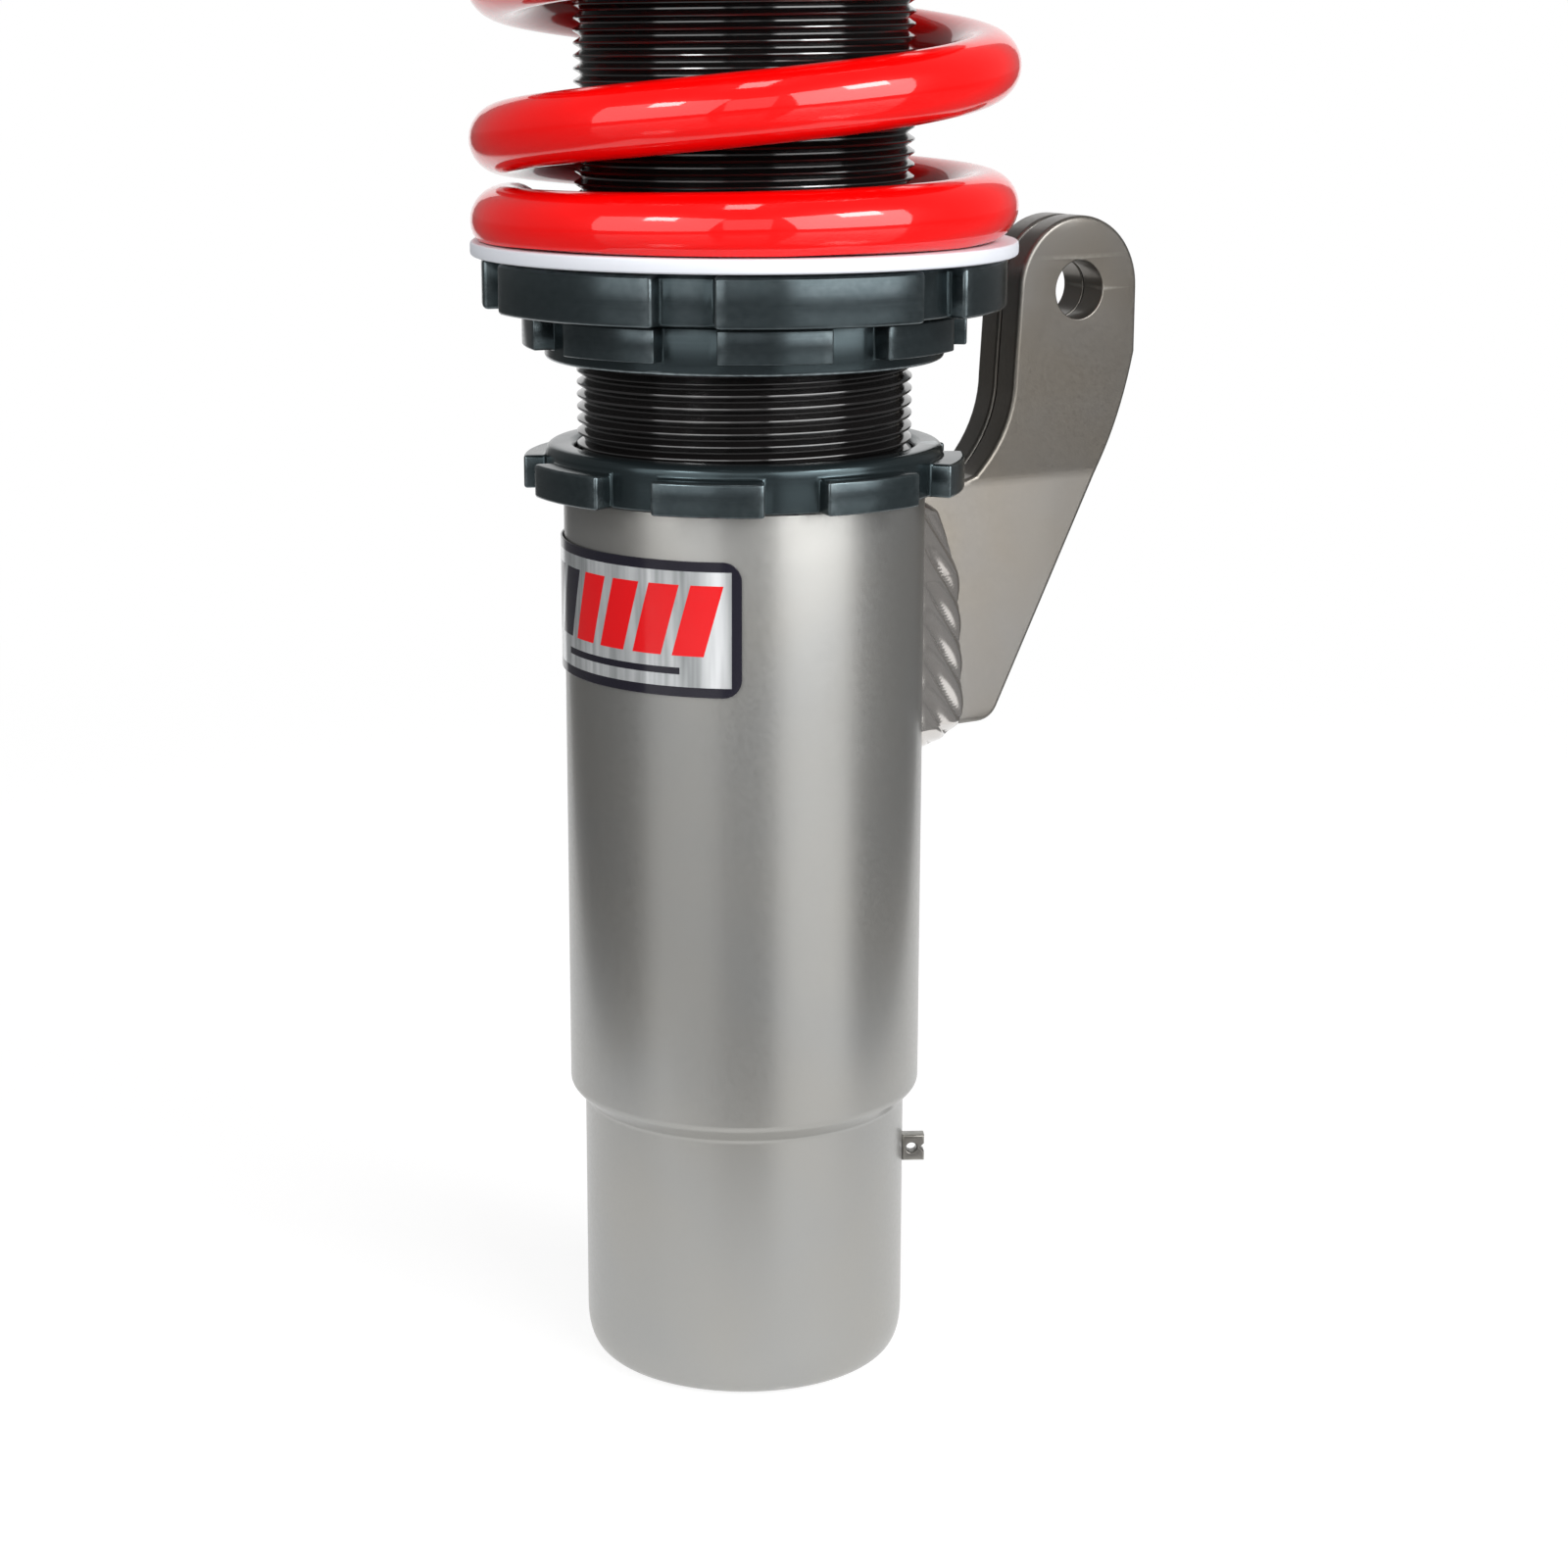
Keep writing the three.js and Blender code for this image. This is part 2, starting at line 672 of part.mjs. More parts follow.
function wiperSeal() {
  const bore = ROD.radius + GAP;
  const outside = GLAND.recess - GAP;
  const bottom = GLAND.recessFloor + GAP;
  const lipTop = GLAND.top + WIPER.lipHeight;
  const lip = [[bore + WIPER.lipWall, lipTop], [bore, lipTop]];
  return turnedRing([[bore, bottom], [outside, bottom], [outside, GLAND.top], ...lip], MID_SIDES);
}

function buildDamperBody() {
  const endCap = plainRing(VALVE.radius + GAP, INSIDE, BODY.bottom + GAP, END_CAP_TOP, MID_SIDES);
  const sealBottom = GUIDE.top + GAP;
  place("damper_body", damperBody(), BLACK_THREAD);
  place("body_end_cap", endCap, STEEL);
  place("gas_valve", gasValve(), BRASS);
  place("floating_piston", floatingPiston(), STEEL);
  place("floating_piston_seal", oRing(FLOATING_PISTON.seal), RUBBER);
  place("rod_guide", rodGuide(), BRASS);
  place("guide_o_ring", oRing(GUIDE.seal), RUBBER);
  place("oil_seal", plainRing(ROD.radius + GAP, INSIDE, sealBottom, GLAND.bottom - GAP, MID_SIDES), RUBBER);
  place("gland_nut", glandNut(), GUNMETAL);
  place("wiper_seal", wiperSeal(), RUBBER);
}

// ---------------------------------------------------------------- rod, piston and damping adjuster

function pistonRod() {
  return turnedRing(
    [
      [ROD.bore, ROD.tip],
      [ROD.pistonStud, ROD.tip],
      [ROD.pistonStud, ROD.shoulder],
      [ROD.radius, ROD.shoulder],
      [ROD.radius, ROD.seat],
      [ROD.stud, ROD.seat],
      [ROD.stud, ROD.end - ROD.endChamfer],
      [ROD.stud - ROD.endChamfer, ROD.end],
      [ROD.bore, ROD.end],
    ],
    MID_SIDES,
  );
}

function mainPiston() {
  const { radius: side, groove } = PISTON;
  const body = turnedRing(
    [
      [ROD.pistonStud + GAP, PISTON.bottom],
      [side, PISTON.bottom],
      [side, PISTON.bandLow],
      [groove, PISTON.bandLow],
      [groove, PISTON.bandHigh],
      [side, PISTON.bandHigh],
      [side, PISTON.top],
      [ROD.pistonStud + GAP, PISTON.top],
    ],
    MID_SIDES,
  );
  const ports = Array.from({ length: PISTON.ports }, (_, index) => {
    const [x, y] = polar(PISTON.portCircle, (index * 360) / PISTON.ports);
    return cylinder(PISTON.port, PISTON.bottom - PAST, PISTON.top + PAST, 8).translate(x, y, 0);
  });
  return cut(body, ...ports);
}

// A stack of thin discs as one stepped ring, the widest disc against the piston.
function shimStack(pistonFace, direction) {
  const bore = ROD.pistonStud + GAP;
  const start = pistonFace + direction * GAP;
  const step = start + direction * SHIMS.thickness;
  const end = step + direction * SHIMS.thickness;
  const section = [
    [bore, start],
    [SHIMS.wide, start],
    [SHIMS.wide, step],
    [SHIMS.narrow, step],
    [SHIMS.narrow, end],
    [bore, end],
  ];
  return turnedRing(direction > 0 ? section : section.reverse(), MID_SIDES);
}

function hexNut(acrossFlats, bore, bottom, top) {
  const shape = hexagonShape(acrossFlats);
  return cut(slab(shape, bottom, top), cylinder(bore, bottom - PAST, top + PAST, SMALL_SIDES));
}

function adjusterKnob() {
  const corners = KNOB.flutes * 4;
  const outline = Array.from({ length: corners }, (_, index) => {
    const degrees = (index * 360) / corners;
    const wave = Math.cos(radians(degrees * KNOB.flutes));
    return polar(KNOB.radius - KNOB.flute * (1 - wave), degrees);
  });
  const socket = cylinder(KNOB.socket, KNOB.bottom - PAST, KNOB.socketTop, SMALL_SIDES);
  return cut(slab(polygonShape(outline), KNOB.bottom, KNOB.top), socket);
}

function adjusterRod() {
  const radius = ROD.bore - GAP;
  const top = KNOB.socketTop - GAP;
  const needle = ROD.tip + NEEDLE.aboveTip;
  return turned(
    [[0, needle], [NEEDLE.tipRadius, needle], [radius, needle + NEEDLE.length], [radius, top], [0, top]],
    SMALL_SIDES,
  );
}

function buildRod() {
  const band = plainRing(PISTON.groove + GAP, INSIDE, PISTON.bandLow + GAP, PISTON.bandHigh - GAP, MID_SIDES);
  const nutTop = PISTON.bottom - PISTON_NUT.below;
  const pistonNut = hexNut(PISTON_NUT.acrossFlats, ROD.pistonStud + GAP, nutTop - PISTON_NUT.height, nutTop);
  place("piston_rod", pistonRod(), CHROME);
  place("main_piston", mainPiston(), STEEL);
  place("piston_band", band, PTFE);
  place("compression_shims", shimStack(PISTON.top, 1), STEEL);
  place("rebound_shims", shimStack(PISTON.bottom, -1), STEEL);
  place("piston_nut", pistonNut, STEEL);
  place("adjuster_rod", adjusterRod(), BRASS);
  place("adjuster_knob", adjusterKnob(), SPRING_RED);
}

// ---------------------------------------------------------------- what the rod carries above the damper

// The outside of a bellows as points that run upwards, ridge and valley in turn.
function pleats(bottom, top, count, ridge, valley) {
  const points = [];
  for (let index = 0; index <= count * 2; index++) {
    points.push([index % 2 ? ridge : valley, bottom + ((top - bottom) * index) / (count * 2)]);
  }
  return points;
}

function dustBoot() {
  const collarBottom = UPPER_SEAT.skirtBottom - BOOT.wall;
  const outside = pleats(BOOT.bottom, collarBottom, BOOT.pleats, BOOT.ridge, BOOT.valley);
  const inside = outside.map(([radius, z]) => [radius - BOOT.wall, z]).reverse();
  const ceiling = BOOT.top - BOOT.wall;
  const roof = [
    [BOOT.collar, BOOT.top],
    [BOOT.rim, BOOT.top],
    [BOOT.rim, ceiling],
    [BOOT.collar - BOOT.wall, ceiling],
  ];
  return turnedRing([...outside, ...roof, ...inside], MID_SIDES);
}

function bumpStop() {
  const { bottom, top, ridge, valley } = BUMP_STOP;
  const outside = pleats(bottom, top, BUMP_STOP.pleats, ridge, valley);
  const bore = ROD.radius + GAP;
  return turnedRing([[bore, bottom], ...outside, [bore, top]], MID_SIDES);
}

function upperSpringSeat() {
  const { bottom, top, radius, chamfer, skirt, skirtWall, skirtBottom } = UPPER_SEAT;
  return turnedRing(
    [
      [ROD.stud + GAP, bottom],
      [skirt - skirtWall, bottom],
      [skirt - skirtWall, skirtBottom],
      [skirt, skirtBottom],
      [skirt, bottom],
      [radius, bottom],
      [radius, top - chamfer],
      [radius - chamfer, top],
      [ROD.stud + GAP, top],
    ],
    BIG_SIDES,
  );
}

function ballSpacer() {
  const bottom = UPPER_SEAT.top + GAP;
  const top = BALL.centre - BALL.halfHeight - GAP;
  const bore = ROD.stud + GAP;
  const { foot, footHeight, neck, neckHeight } = BALL_SPACER;
  return turnedRing(
    [
      [bore, bottom],
      [foot, bottom],
      [foot, bottom + footHeight],
      [neck, bottom + neckHeight],
      [neck, top],
      [bore, top],
    ],
    MID_SIDES,
  );
}

// The points of a sphere's side between two heights, in equal angles, running upwards.
function sphereSide(radius, halfHeight, steps) {
  const limit = Math.asin(halfHeight / radius);
  return Array.from({ length: steps + 1 }, (_, index) => {
    const angle = -limit + (2 * limit * index) / steps;
    return [radius * Math.cos(angle), BALL.centre + radius * Math.sin(angle)];
  });
}

function pillowBall() {
  const bore = ROD.stud + GAP;
  const bottom = BALL.centre - BALL.halfHeight;
  const top = BALL.centre + BALL.halfHeight;
  const side = sphereSide(BALL.radius, BALL.halfHeight, SPHERE_STEPS);
  return turnedRing([[bore, bottom], ...side, [bore, top]], BALL_SIDES);
}

function raceLiner() {
  const outside = sphereSide(LINER.outer, LINER.halfHeight, SPHERE_STEPS);
  const inside = sphereSide(LINER.inner, LINER.halfHeight, SPHERE_STEPS).reverse();
  return turnedRing([...outside, ...inside], BALL_SIDES);
}

function bearingRace() {
  const bottom = BALL.centre - RACE.halfHeight;
  const top = BALL.centre + RACE.halfHeight;
  const inside = sphereSide(RACE.inner, RACE.halfHeight, SPHERE_STEPS).reverse();
  return turnedRing([[RACE.outer, bottom], [RACE.outer, top], ...inside], BALL_SIDES);
}

function buildUpperSeat() {
  place("bump_stop", bumpStop(), FOAM);
  place("dust_boot", dustBoot(), RUBBER);
  const isolator = plainRing(ISOLATOR.bore, UPPER_SEAT.radius, ISOLATOR.bottom, ISOLATOR.top, BIG_SIDES);
  place("upper_spring_isolator", isolator, WHITE_NYLON);
  place("upper_spring_seat", upperSpringSeat(), GUNMETAL);
  place("ball_spacer", ballSpacer(), STEEL);
  place("pillow_ball", pillowBall(), CHROME);
  place("race_liner", raceLiner(), PTFE);
  place("bearing_race", bearingRace(), STEEL);
  const bore = ROD.stud + GAP;
  const washerBottom = BALL.centre + BALL.halfHeight + GAP;
  const topWasher = plainRing(bore, TOP_NUT.washerRadius, washerBottom, TOP_NUT.bottom - GAP, BALL_SIDES);
  place("top_washer", topWasher, STEEL);
  place("top_nut", hexNut(TOP_NUT.acrossFlats, bore, TOP_NUT.bottom, TOP_NUT.top), STEEL);
}

// ---------------------------------------------------------------- top mount

const CAMBER_SCREW_PLACES = [
  [CAMBER_SCREW.x, CAMBER_SCREW.y],
  [-CAMBER_SCREW.x, CAMBER_SCREW.y],
  [-CAMBER_SCREW.x, -CAMBER_SCREW.y],
  [CAMBER_SCREW.x, -CAMBER_SCREW.y],
];
const STUD_AZIMUTHS = [90, 210, 330];
const STUD_PLACES = STUD_AZIMUTHS.map((degrees) => polar(STUD.circle, degrees));

function sliderPlate() {
  const { halfX, halfY, corner, bottom, top, boss, bossTop, bore, lip } = SLIDER;
  const outline = new THREE.Shape();
  outline.absarc(halfX - corner, -halfY + corner, corner, -Math.PI / 2, 0, false);
  outline.absarc(halfX - corner, halfY - corner, corner, 0, Math.PI / 2, false);
  outline.absarc(-halfX + corner, halfY - corner, corner, Math.PI / 2, Math.PI, false);
  outline.absarc(-halfX + corner, -halfY + corner, corner, Math.PI, (3 * Math.PI) / 2, false);
  const body = joined(slab(outline, bottom, top, 3), cylinder(boss, bottom + PAST, bossTop, BIG_SIDES));
  const mouth = cylinder(bore, BALL.centre - RACE.halfHeight - GAP, bossTop + PAST, BALL_SIDES);
  const clipGroove = cylinder(CLIP.outer + GAP, CLIP.bottom - GAP, CLIP.top + GAP, BALL_SIDES);
  const throat = cylinder(lip, bottom - PAST, bossTop, MID_SIDES);
  const threads = CAMBER_SCREW_PLACES.map(([x, y]) =>
    cylinder(CAMBER_SCREW.radius + GAP, bottom - PAST, top + PAST, SMALL_SIDES).translate(x, y, 0),
  );
  return cut(body, mouth, clipGroove, throat, ...threads);
}

function retainingRing() {
  const { inner, outer, bottom, top, opening } = CLIP;
  const whole = plainRing(inner, outer, bottom, top, MID_SIDES);
  return cut(whole, ringSector(inner - SUNK, outer + SUNK, 90, opening, bottom - PAST, top + PAST));
}

function camberPlate() {
  const { bottom, top, radius, travel, chamfer } = CAMBER;
  const disc = turned(
    [
      [0, bottom],
      [radius - chamfer, bottom],
      [radius, bottom + chamfer],
      [radius, top - chamfer],
      [radius - chamfer, top],
      [0, top],
    ],
    CAMBER.sides,
  );
  const through = (shape, curveSegments) => slab(shape, bottom - PAST, top + PAST, curveSegments);
  const window = through(slotShape(0, 0, SLIDER.boss + WINDOW_CLEARANCE, travel), 8);
  const slots = CAMBER_SCREW_PLACES.map(([x, y]) => through(slotShape(x, y, CLEARANCE_HOLE, travel), 4));
  const holes = STUD_PLACES.map(([x, y]) => through(slotShape(x, y, CLEARANCE_HOLE, 0), 5));
  return cut(disc, window, ...slots, ...holes);
}

function camberScrew() {
  const { radius, head, headHeight, bottom, socket, socketDepth, sides } = CAMBER_SCREW;
  const seat = CAMBER.top + GAP;
  const top = seat + headHeight;
  const body = turned(
    [[0, bottom], [radius, bottom], [radius, seat], [head, seat], [head, top], [0, top]],
    sides,
  );
  return cut(body, slab(hexagonShape(socket), top - socketDepth, top + PAST));
}

function mountStud() {
  const seat = CAMBER.bottom - GAP;
  const bottom = seat - STUD.headHeight;
  return turned(
    [
      [0, bottom],
      [STUD.head, bottom],
      [STUD.head, seat],
      [STUD.radius, seat],
      [STUD.radius, STUD.top - STUD.chamfer],
      [STUD.radius - STUD.chamfer, STUD.top],
      [0, STUD.top],
    ],
    STUD.sides,
  );
}

function studNut() {
  const bottom = CAMBER.top + GAP;
  const top = bottom + STUD_NUT.height;
  const flange = cylinder(STUD_NUT.flange, bottom, bottom + STUD_NUT.flangeHeight, STUD_NUT.sides);
  const hexagon = slab(hexagonShape(STUD_NUT.acrossFlats), bottom + PAST, top);
  const bore = cylinder(STUD.radius + GAP, bottom - PAST, top + PAST, SMALL_SIDES);
  return cut(joined(flange, hexagon), bore);
}

function buildTopMount() {
  place("slider_plate", sliderPlate(), STEEL);
  place("retaining_ring", retainingRing(), STEEL);
  place("camber_plate", camberPlate(), GUNMETAL);
  CAMBER_SCREW_PLACES.forEach(([x, y], index) => {
    place(`camber_screw_${index + 1}`, camberScrew(), STEEL).position.set(x, y, 0);
  });
  STUD_PLACES.forEach(([x, y], index) => {
    place(`mount_stud_${index + 1}`, mountStud(), STEEL).position.set(x, y, 0);
    place(`stud_nut_${index + 1}`, studNut(), STEEL).position.set(x, y, 0);
  });
}

buildHousing();
buildBracket();
buildRings();
buildSpring();
buildDamperBody();
buildRod();
buildUpperSeat();
buildTopMount();

export default part;
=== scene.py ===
"""Dresses the packed coilover: fine meshes round the rigid frame, procedural finishes, and a plain studio."""

import json
import math
from collections import namedtuple
from itertools import product

import bmesh
import bpy
from bpy.props import FloatProperty, FloatVectorProperty, IntProperty, PointerProperty
from mathutils import Matrix, Vector


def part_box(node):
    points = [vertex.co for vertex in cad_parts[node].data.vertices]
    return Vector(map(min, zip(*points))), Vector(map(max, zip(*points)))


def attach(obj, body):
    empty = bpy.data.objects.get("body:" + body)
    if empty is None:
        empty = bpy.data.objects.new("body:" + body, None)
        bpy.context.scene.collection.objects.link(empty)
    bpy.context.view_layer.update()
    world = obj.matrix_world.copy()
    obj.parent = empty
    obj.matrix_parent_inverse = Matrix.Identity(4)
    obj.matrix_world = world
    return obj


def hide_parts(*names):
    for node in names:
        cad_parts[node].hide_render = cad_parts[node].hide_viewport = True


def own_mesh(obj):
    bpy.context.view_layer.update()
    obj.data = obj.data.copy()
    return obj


bl_info = {
    "name": "Coilover Strut Dresser",
    "version": (1, 0, 0),
    "blender": (4, 5, 0),
    "location": "View3D > Sidebar > Coilover",
    "description": "Builds the visible pieces of a height-adjustable coilover strut round its rigid frame",
    "category": "Object",
}

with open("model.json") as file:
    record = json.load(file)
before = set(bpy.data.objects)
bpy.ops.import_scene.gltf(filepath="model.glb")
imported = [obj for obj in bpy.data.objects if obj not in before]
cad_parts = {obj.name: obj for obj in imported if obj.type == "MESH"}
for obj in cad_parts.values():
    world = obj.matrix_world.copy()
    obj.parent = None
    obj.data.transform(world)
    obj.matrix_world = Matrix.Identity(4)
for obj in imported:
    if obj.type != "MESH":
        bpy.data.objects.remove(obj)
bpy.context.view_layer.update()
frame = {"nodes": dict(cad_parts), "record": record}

MM = 0.001  # the builders below work in millimetres, and new_piece scales their meshes by this
WELD_DISTANCE = 2e-4  # points nearer than this are one point, in millimetres
SMOOTH_ANGLE = math.radians(32)


# ---------------------------------------------------------------- sizes, mostly from the frame


def low(node):
    """Lowest corner of a CAD node, in millimetres."""
    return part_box(node)[0] / MM


def high(node):
    """Highest corner of a CAD node, in millimetres."""
    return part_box(node)[1] / MM


def heights(node):
    """Lowest and highest Z of a CAD node, in millimetres."""
    return low(node).z, high(node).z


CLEARANCE = 0.3  # gap between faces that touch on the real strut
BORE_GAP = 27.8  # bore of whatever runs on the thread

HOUSING_TOP = high("lower_housing").z
SLEEVE_RADIUS, SLEEVE_BOTTOM = 29.85, 48.5
SLIP_RADIUS, SLIP_TOP = 27.35, 45.8
FOOT_RISE, FOOT_REACH = 7.4, 3.9  # the rounding of the tube's lower end
HOUSING_SHELF = 50.0
HOUSING_HOLLOW = 23.5
BASE_TOP = high("housing_base").z
BASE_RADIUS = 20.7

LABEL_RIGHT = -122.7  # azimuth of the label's right edge, degrees
LABEL_SWEEP = 144.0
LABEL_INNER = 30.12
LABEL_THICKNESS, LABEL_CORNER, LABEL_BORDER = 0.3, 3.0, 1.6

LINK_X, LINK_Z, LINK_RADIUS = 64.6, 180.2, 5.0
LUG_RADIUS = 12.6
PLATE_OUTER, PLATE_INNER, PLATE_EDGE = 5.5, 0.15, 0.8
CREASE_Z = 148.5
FLARE = math.tan(math.radians(9.5))
CREASE_SOFTNESS = 2.4  # height over which the plate bends
WING_FOOT = low("link_bracket_front").z

TAB_AZIMUTH = -30.0
TAB_LOW, TAB_HIGH = 32.6, 37.2
TAB_REACH, TAB_WIDTH, TAB_NOTCH = 31.2, 2.6, 0.75

THREAD_CREST, THREAD_DEPTH = 27.5, 1.15
THREAD_ROOT = THREAD_CREST - THREAD_DEPTH
THREAD_START = 116.0  # below this the body never leaves the housing
# share of the thread's depth, and share of the pitch, from one root to the next
THREAD_FORM = [(0, 0), (0, 0.12), (0.78, 0.40), (0.95, 0.46), (1, 0.55), (0.95, 0.64), (0.78, 0.70)]
BODY_BOTTOM, BODY_TOP = heights("damper_body")
BODY_BORE, BODY_CHAMFER = 23.0, 1.2

RING_RADIUS, RING_LUG_RADIUS, RING_LUG_HEIGHT = 32.67, 36.3, 5.4
RING_LUGS, RING_LUG_DEGREES = 8, 29.0
HEIGHT_RING_AZIMUTH, SEAT_RING_AZIMUTH = -131.4, -114.2
PERCH_RADIUS, PERCH_ROOT, PERCH_TOP = 42.7, 39.5, 188.3
PERCH_LUGS, PERCH_LUG_DEGREES, PERCH_AZIMUTH = 6, 47.0, -104.7
HUB_RADIUS = 32.4

SPRING_MEAN, SPRING_WIRE = 38.75, 5.6
SPRING_BOTTOM, SPRING_TOP = heights("main_spring")
SPRING_TURNS = 9.0
SPRING_CLOSED = 0.65  # turns at each end that lie flatter than the rest
SPRING_TIP_HEIGHT, SPRING_CLOSED_HEIGHT = 2.8, 6.2
SPRING_TIP_AZIMUTH = 137.0
SPRING_TIP_ROUND = 0.9  # rounding of the wire's cut ends

ROD_RADIUS, STUD_RADIUS, ROD_BORE = 11.0, 7.0, 3.2
NUT_BORE = STUD_RADIUS + CLEARANCE  # bore of whatever sits on the rod's upper end
SEAT_BOTTOM = 393.7
BALL_Z, BALL_RADIUS, BALL_HALF = 416.0, 14.0, 8.7
UNDER_CAMBER = 417.8  # top of what lies against the camber plate from below
SCREW_PLACES = [(20.0, 33.0), (-20.0, 33.0), (-20.0, -33.0), (20.0, -33.0)]
STUD_CIRCLE = 52.0

CAMERA_AZIMUTH = -32.0  # degrees, 0 looks along +Y
CAMERA_DISTANCE, CAMERA_HEIGHT = 530.0, 227.85
CAMERA_PITCH = 13.58  # degrees below the horizon
CAMERA_LENS, CAMERA_SHIFT = 74.07, 0.0253
FACING = CAMERA_AZIMUTH - 90.0  # azimuth of the camera seen from the strut's axis
AIM_Z = 200.0  # height at which the lamps point
PAPER_Z, GROUND_Z = -0.0004, -0.002  # just below the strut's foot, in metres
GROUND_HALF = 60.0  # half the width of the studio's table, in metres


# ---------------------------------------------------------------- table of finishes

EVEN = (1500.0, 1500.0, 1500.0)
COARSE = (420.0, 420.0, 420.0)
TURNED = (60.0, 60.0, 5200.0)  # lines round the axis, as a lathe leaves them

# base colour, its slow tint and its edge colour, which is partly wear and partly a painted highlight;
# metallic, specular level, roughness from and to, bump depth in millimetres, the grain's stretch, amount of
# edge wear and painted edge highlight, and clear coat
Look = namedtuple("Look", "color tint worn metallic level smooth rough bump stretch wear coat")

LOOKS = {
    "titanium_paint": Look(
        (160, 160, 158), (164, 162, 157), (214, 213, 209), 0.85, 0.4, 0.30, 0.38, 0.008, EVEN, 0.3, 0.15
    ),
    "bracket_paint": Look(
        (112, 110, 107), (112, 105, 94), (200, 198, 190), 0.8, 0.4, 0.28, 0.38, 0.008, EVEN, 0.7, 0.15
    ),
    "weld_bead": Look(
        (206, 202, 198), (190, 184, 178), (236, 234, 228), 0.9, 0.5, 0.12, 0.2, 0.01, EVEN, 0.5, 0.7
    ),
    # the rings' pale edge colour is a painted highlight along their edges, with some wear
    "gunmetal_anodised": Look(
        (56, 66, 69), (50, 60, 63), (184, 196, 200), 0.8, 0.4, 0.18, 0.26, 0.0008, TURNED, 0.8, 0.0
    ),
    "black_thread": Look(
        (16, 15, 15), (20, 18, 18), (78, 74, 72), 0.0, 1.0, 0.10, 0.17, 0.0015, TURNED, 0.1, 0.0
    ),
    "spring_red": Look(
        (246, 2, 2), (236, 2, 2), (244, 30, 20), 0.0, 0.1, 0.30, 0.36, 0.006, COARSE, 0.1, 1.0
    ),
    "white_nylon": Look(
        (224, 227, 234), (216, 219, 226), (236, 238, 242), 0.0, 0.3, 0.40, 0.52, 0.002, EVEN, 0.1, 0.0
    ),
    "hard_chrome": Look(
        (205, 208, 212), (196, 200, 204), (225, 226, 228), 1.0, 0.5, 0.06, 0.11, 0.0005, TURNED, 0.1, 0.0
    ),
    "zinc_steel": Look(
        (160, 164, 168), (152, 154, 154), (214, 216, 218), 1.0, 0.5, 0.26, 0.38, 0.002, TURNED, 0.5, 0.0
    ),
    "bronze": Look(
        (176, 141, 74), (150, 118, 66), (214, 186, 120), 1.0, 0.5, 0.28, 0.42, 0.002, TURNED, 0.4, 0.0
    ),
    "black_rubber": Look(
        (26, 26, 29), (34, 33, 34), (52, 52, 54), 0.0, 0.25, 0.55, 0.72, 0.012, EVEN, 0.3, 0.0
    ),
    "yellow_foam": Look(
        (214, 180, 74), (196, 158, 60), (226, 200, 110), 0.0, 0.3, 0.66, 0.82, 0.03, EVEN, 0.2, 0.0
    ),
    "ptfe_bronze": Look(
        (107, 90, 70), (92, 76, 58), (140, 120, 92), 0.1, 0.4, 0.5, 0.64, 0.004, EVEN, 0.2, 0.0
    ),
    "red_anodised": Look(
        (196, 16, 22), (178, 12, 20), (226, 120, 116), 0.85, 0.5, 0.24, 0.34, 0.002, TURNED, 0.6, 0.0
    ),
}
USER_COLOURS = {
    "titanium_paint": "housing",
    "bracket_paint": "bracket",
    "gunmetal_anodised": "rings",
    "black_thread": "thread",
    "spring_red": "spring",
    "white_nylon": "washer",
}


def srgb(red, green, blue):
    """A colour given from 0 to 255, as the linear values that shaders take."""

    def linear(channel):
        share = channel / 255
        return share / 12.92 if share <= 0.04045 else ((share + 0.055) / 1.055) ** 2.4

    return (linear(red), linear(green), linear(blue))


def base_colour(slot):
    """A finish's own base colour from the table."""
    return srgb(*LOOKS[slot].color)


# ---------------------------------------------------------------- settings a user would change


class CoiloverSizes(bpy.types.PropertyGroup):
    """Sizes of the detail that the frame leaves open."""

    thread_pitch: FloatProperty(
        name="Thread Pitch", description="Rise of the body's thread in one turn", default=0.002, unit="LENGTH"
    )
    edge_round: FloatProperty(
        name="Edge Rounding", description="Rounding of machined edges", default=0.0005, unit="LENGTH"
    )
    round_sides: IntProperty(
        name="Round Sides", description="Facets round a large turned piece", default=144, min=24
    )
    wire_sides: IntProperty(
        name="Wire Sides", description="Facets round the spring's wire", default=32, min=8
    )
    wire_steps: IntProperty(
        name="Wire Steps", description="Rings of facets in one turn of the spring", default=108
    )
    boot_pleats: IntProperty(
        name="Boot Pleats", description="Folds of the dust boot", default=5, min=2
    )


class CoiloverColours(bpy.types.PropertyGroup):
    """Colours of the main finishes."""

    spring: FloatVectorProperty(
        name="Spring",
        description="Powder coat of the spring",
        subtype="COLOR",
        default=base_colour("spring_red"),
    )
    housing: FloatVectorProperty(
        name="Housing",
        description="Metallic paint of the housing",
        subtype="COLOR",
        default=base_colour("titanium_paint"),
    )
    bracket: FloatVectorProperty(
        name="Bracket",
        description="Metallic paint of the bracket",
        subtype="COLOR",
        default=base_colour("bracket_paint"),
    )
    rings: FloatVectorProperty(
        name="Rings",
        description="Anodising of the rings and perch",
        subtype="COLOR",
        default=base_colour("gunmetal_anodised"),
    )
    thread: FloatVectorProperty(
        name="Thread",
        description="Black coating of the threaded body",
        subtype="COLOR",
        default=base_colour("black_thread"),
    )
    washer: FloatVectorProperty(
        name="Washer",
        description="Nylon of the spring's washer",
        subtype="COLOR",
        default=base_colour("white_nylon"),
    )


class CoiloverStage(bpy.types.PropertyGroup):
    """Strengths of the studio."""

    key: FloatProperty(name="Key", description="Radiance of the wide softboxes", default=2.3, min=0.0)
    core: FloatProperty(name="Core", description="Radiance of the small softboxes", default=15.0, min=0.0)
    top: FloatProperty(name="Top", description="Radiance of the overhead softbox", default=6.0, min=0.0)
    fill: FloatProperty(name="Fill", description="Strength of the room's light", default=0.22, min=0.0)


# ---------------------------------------------------------------- shader nodes

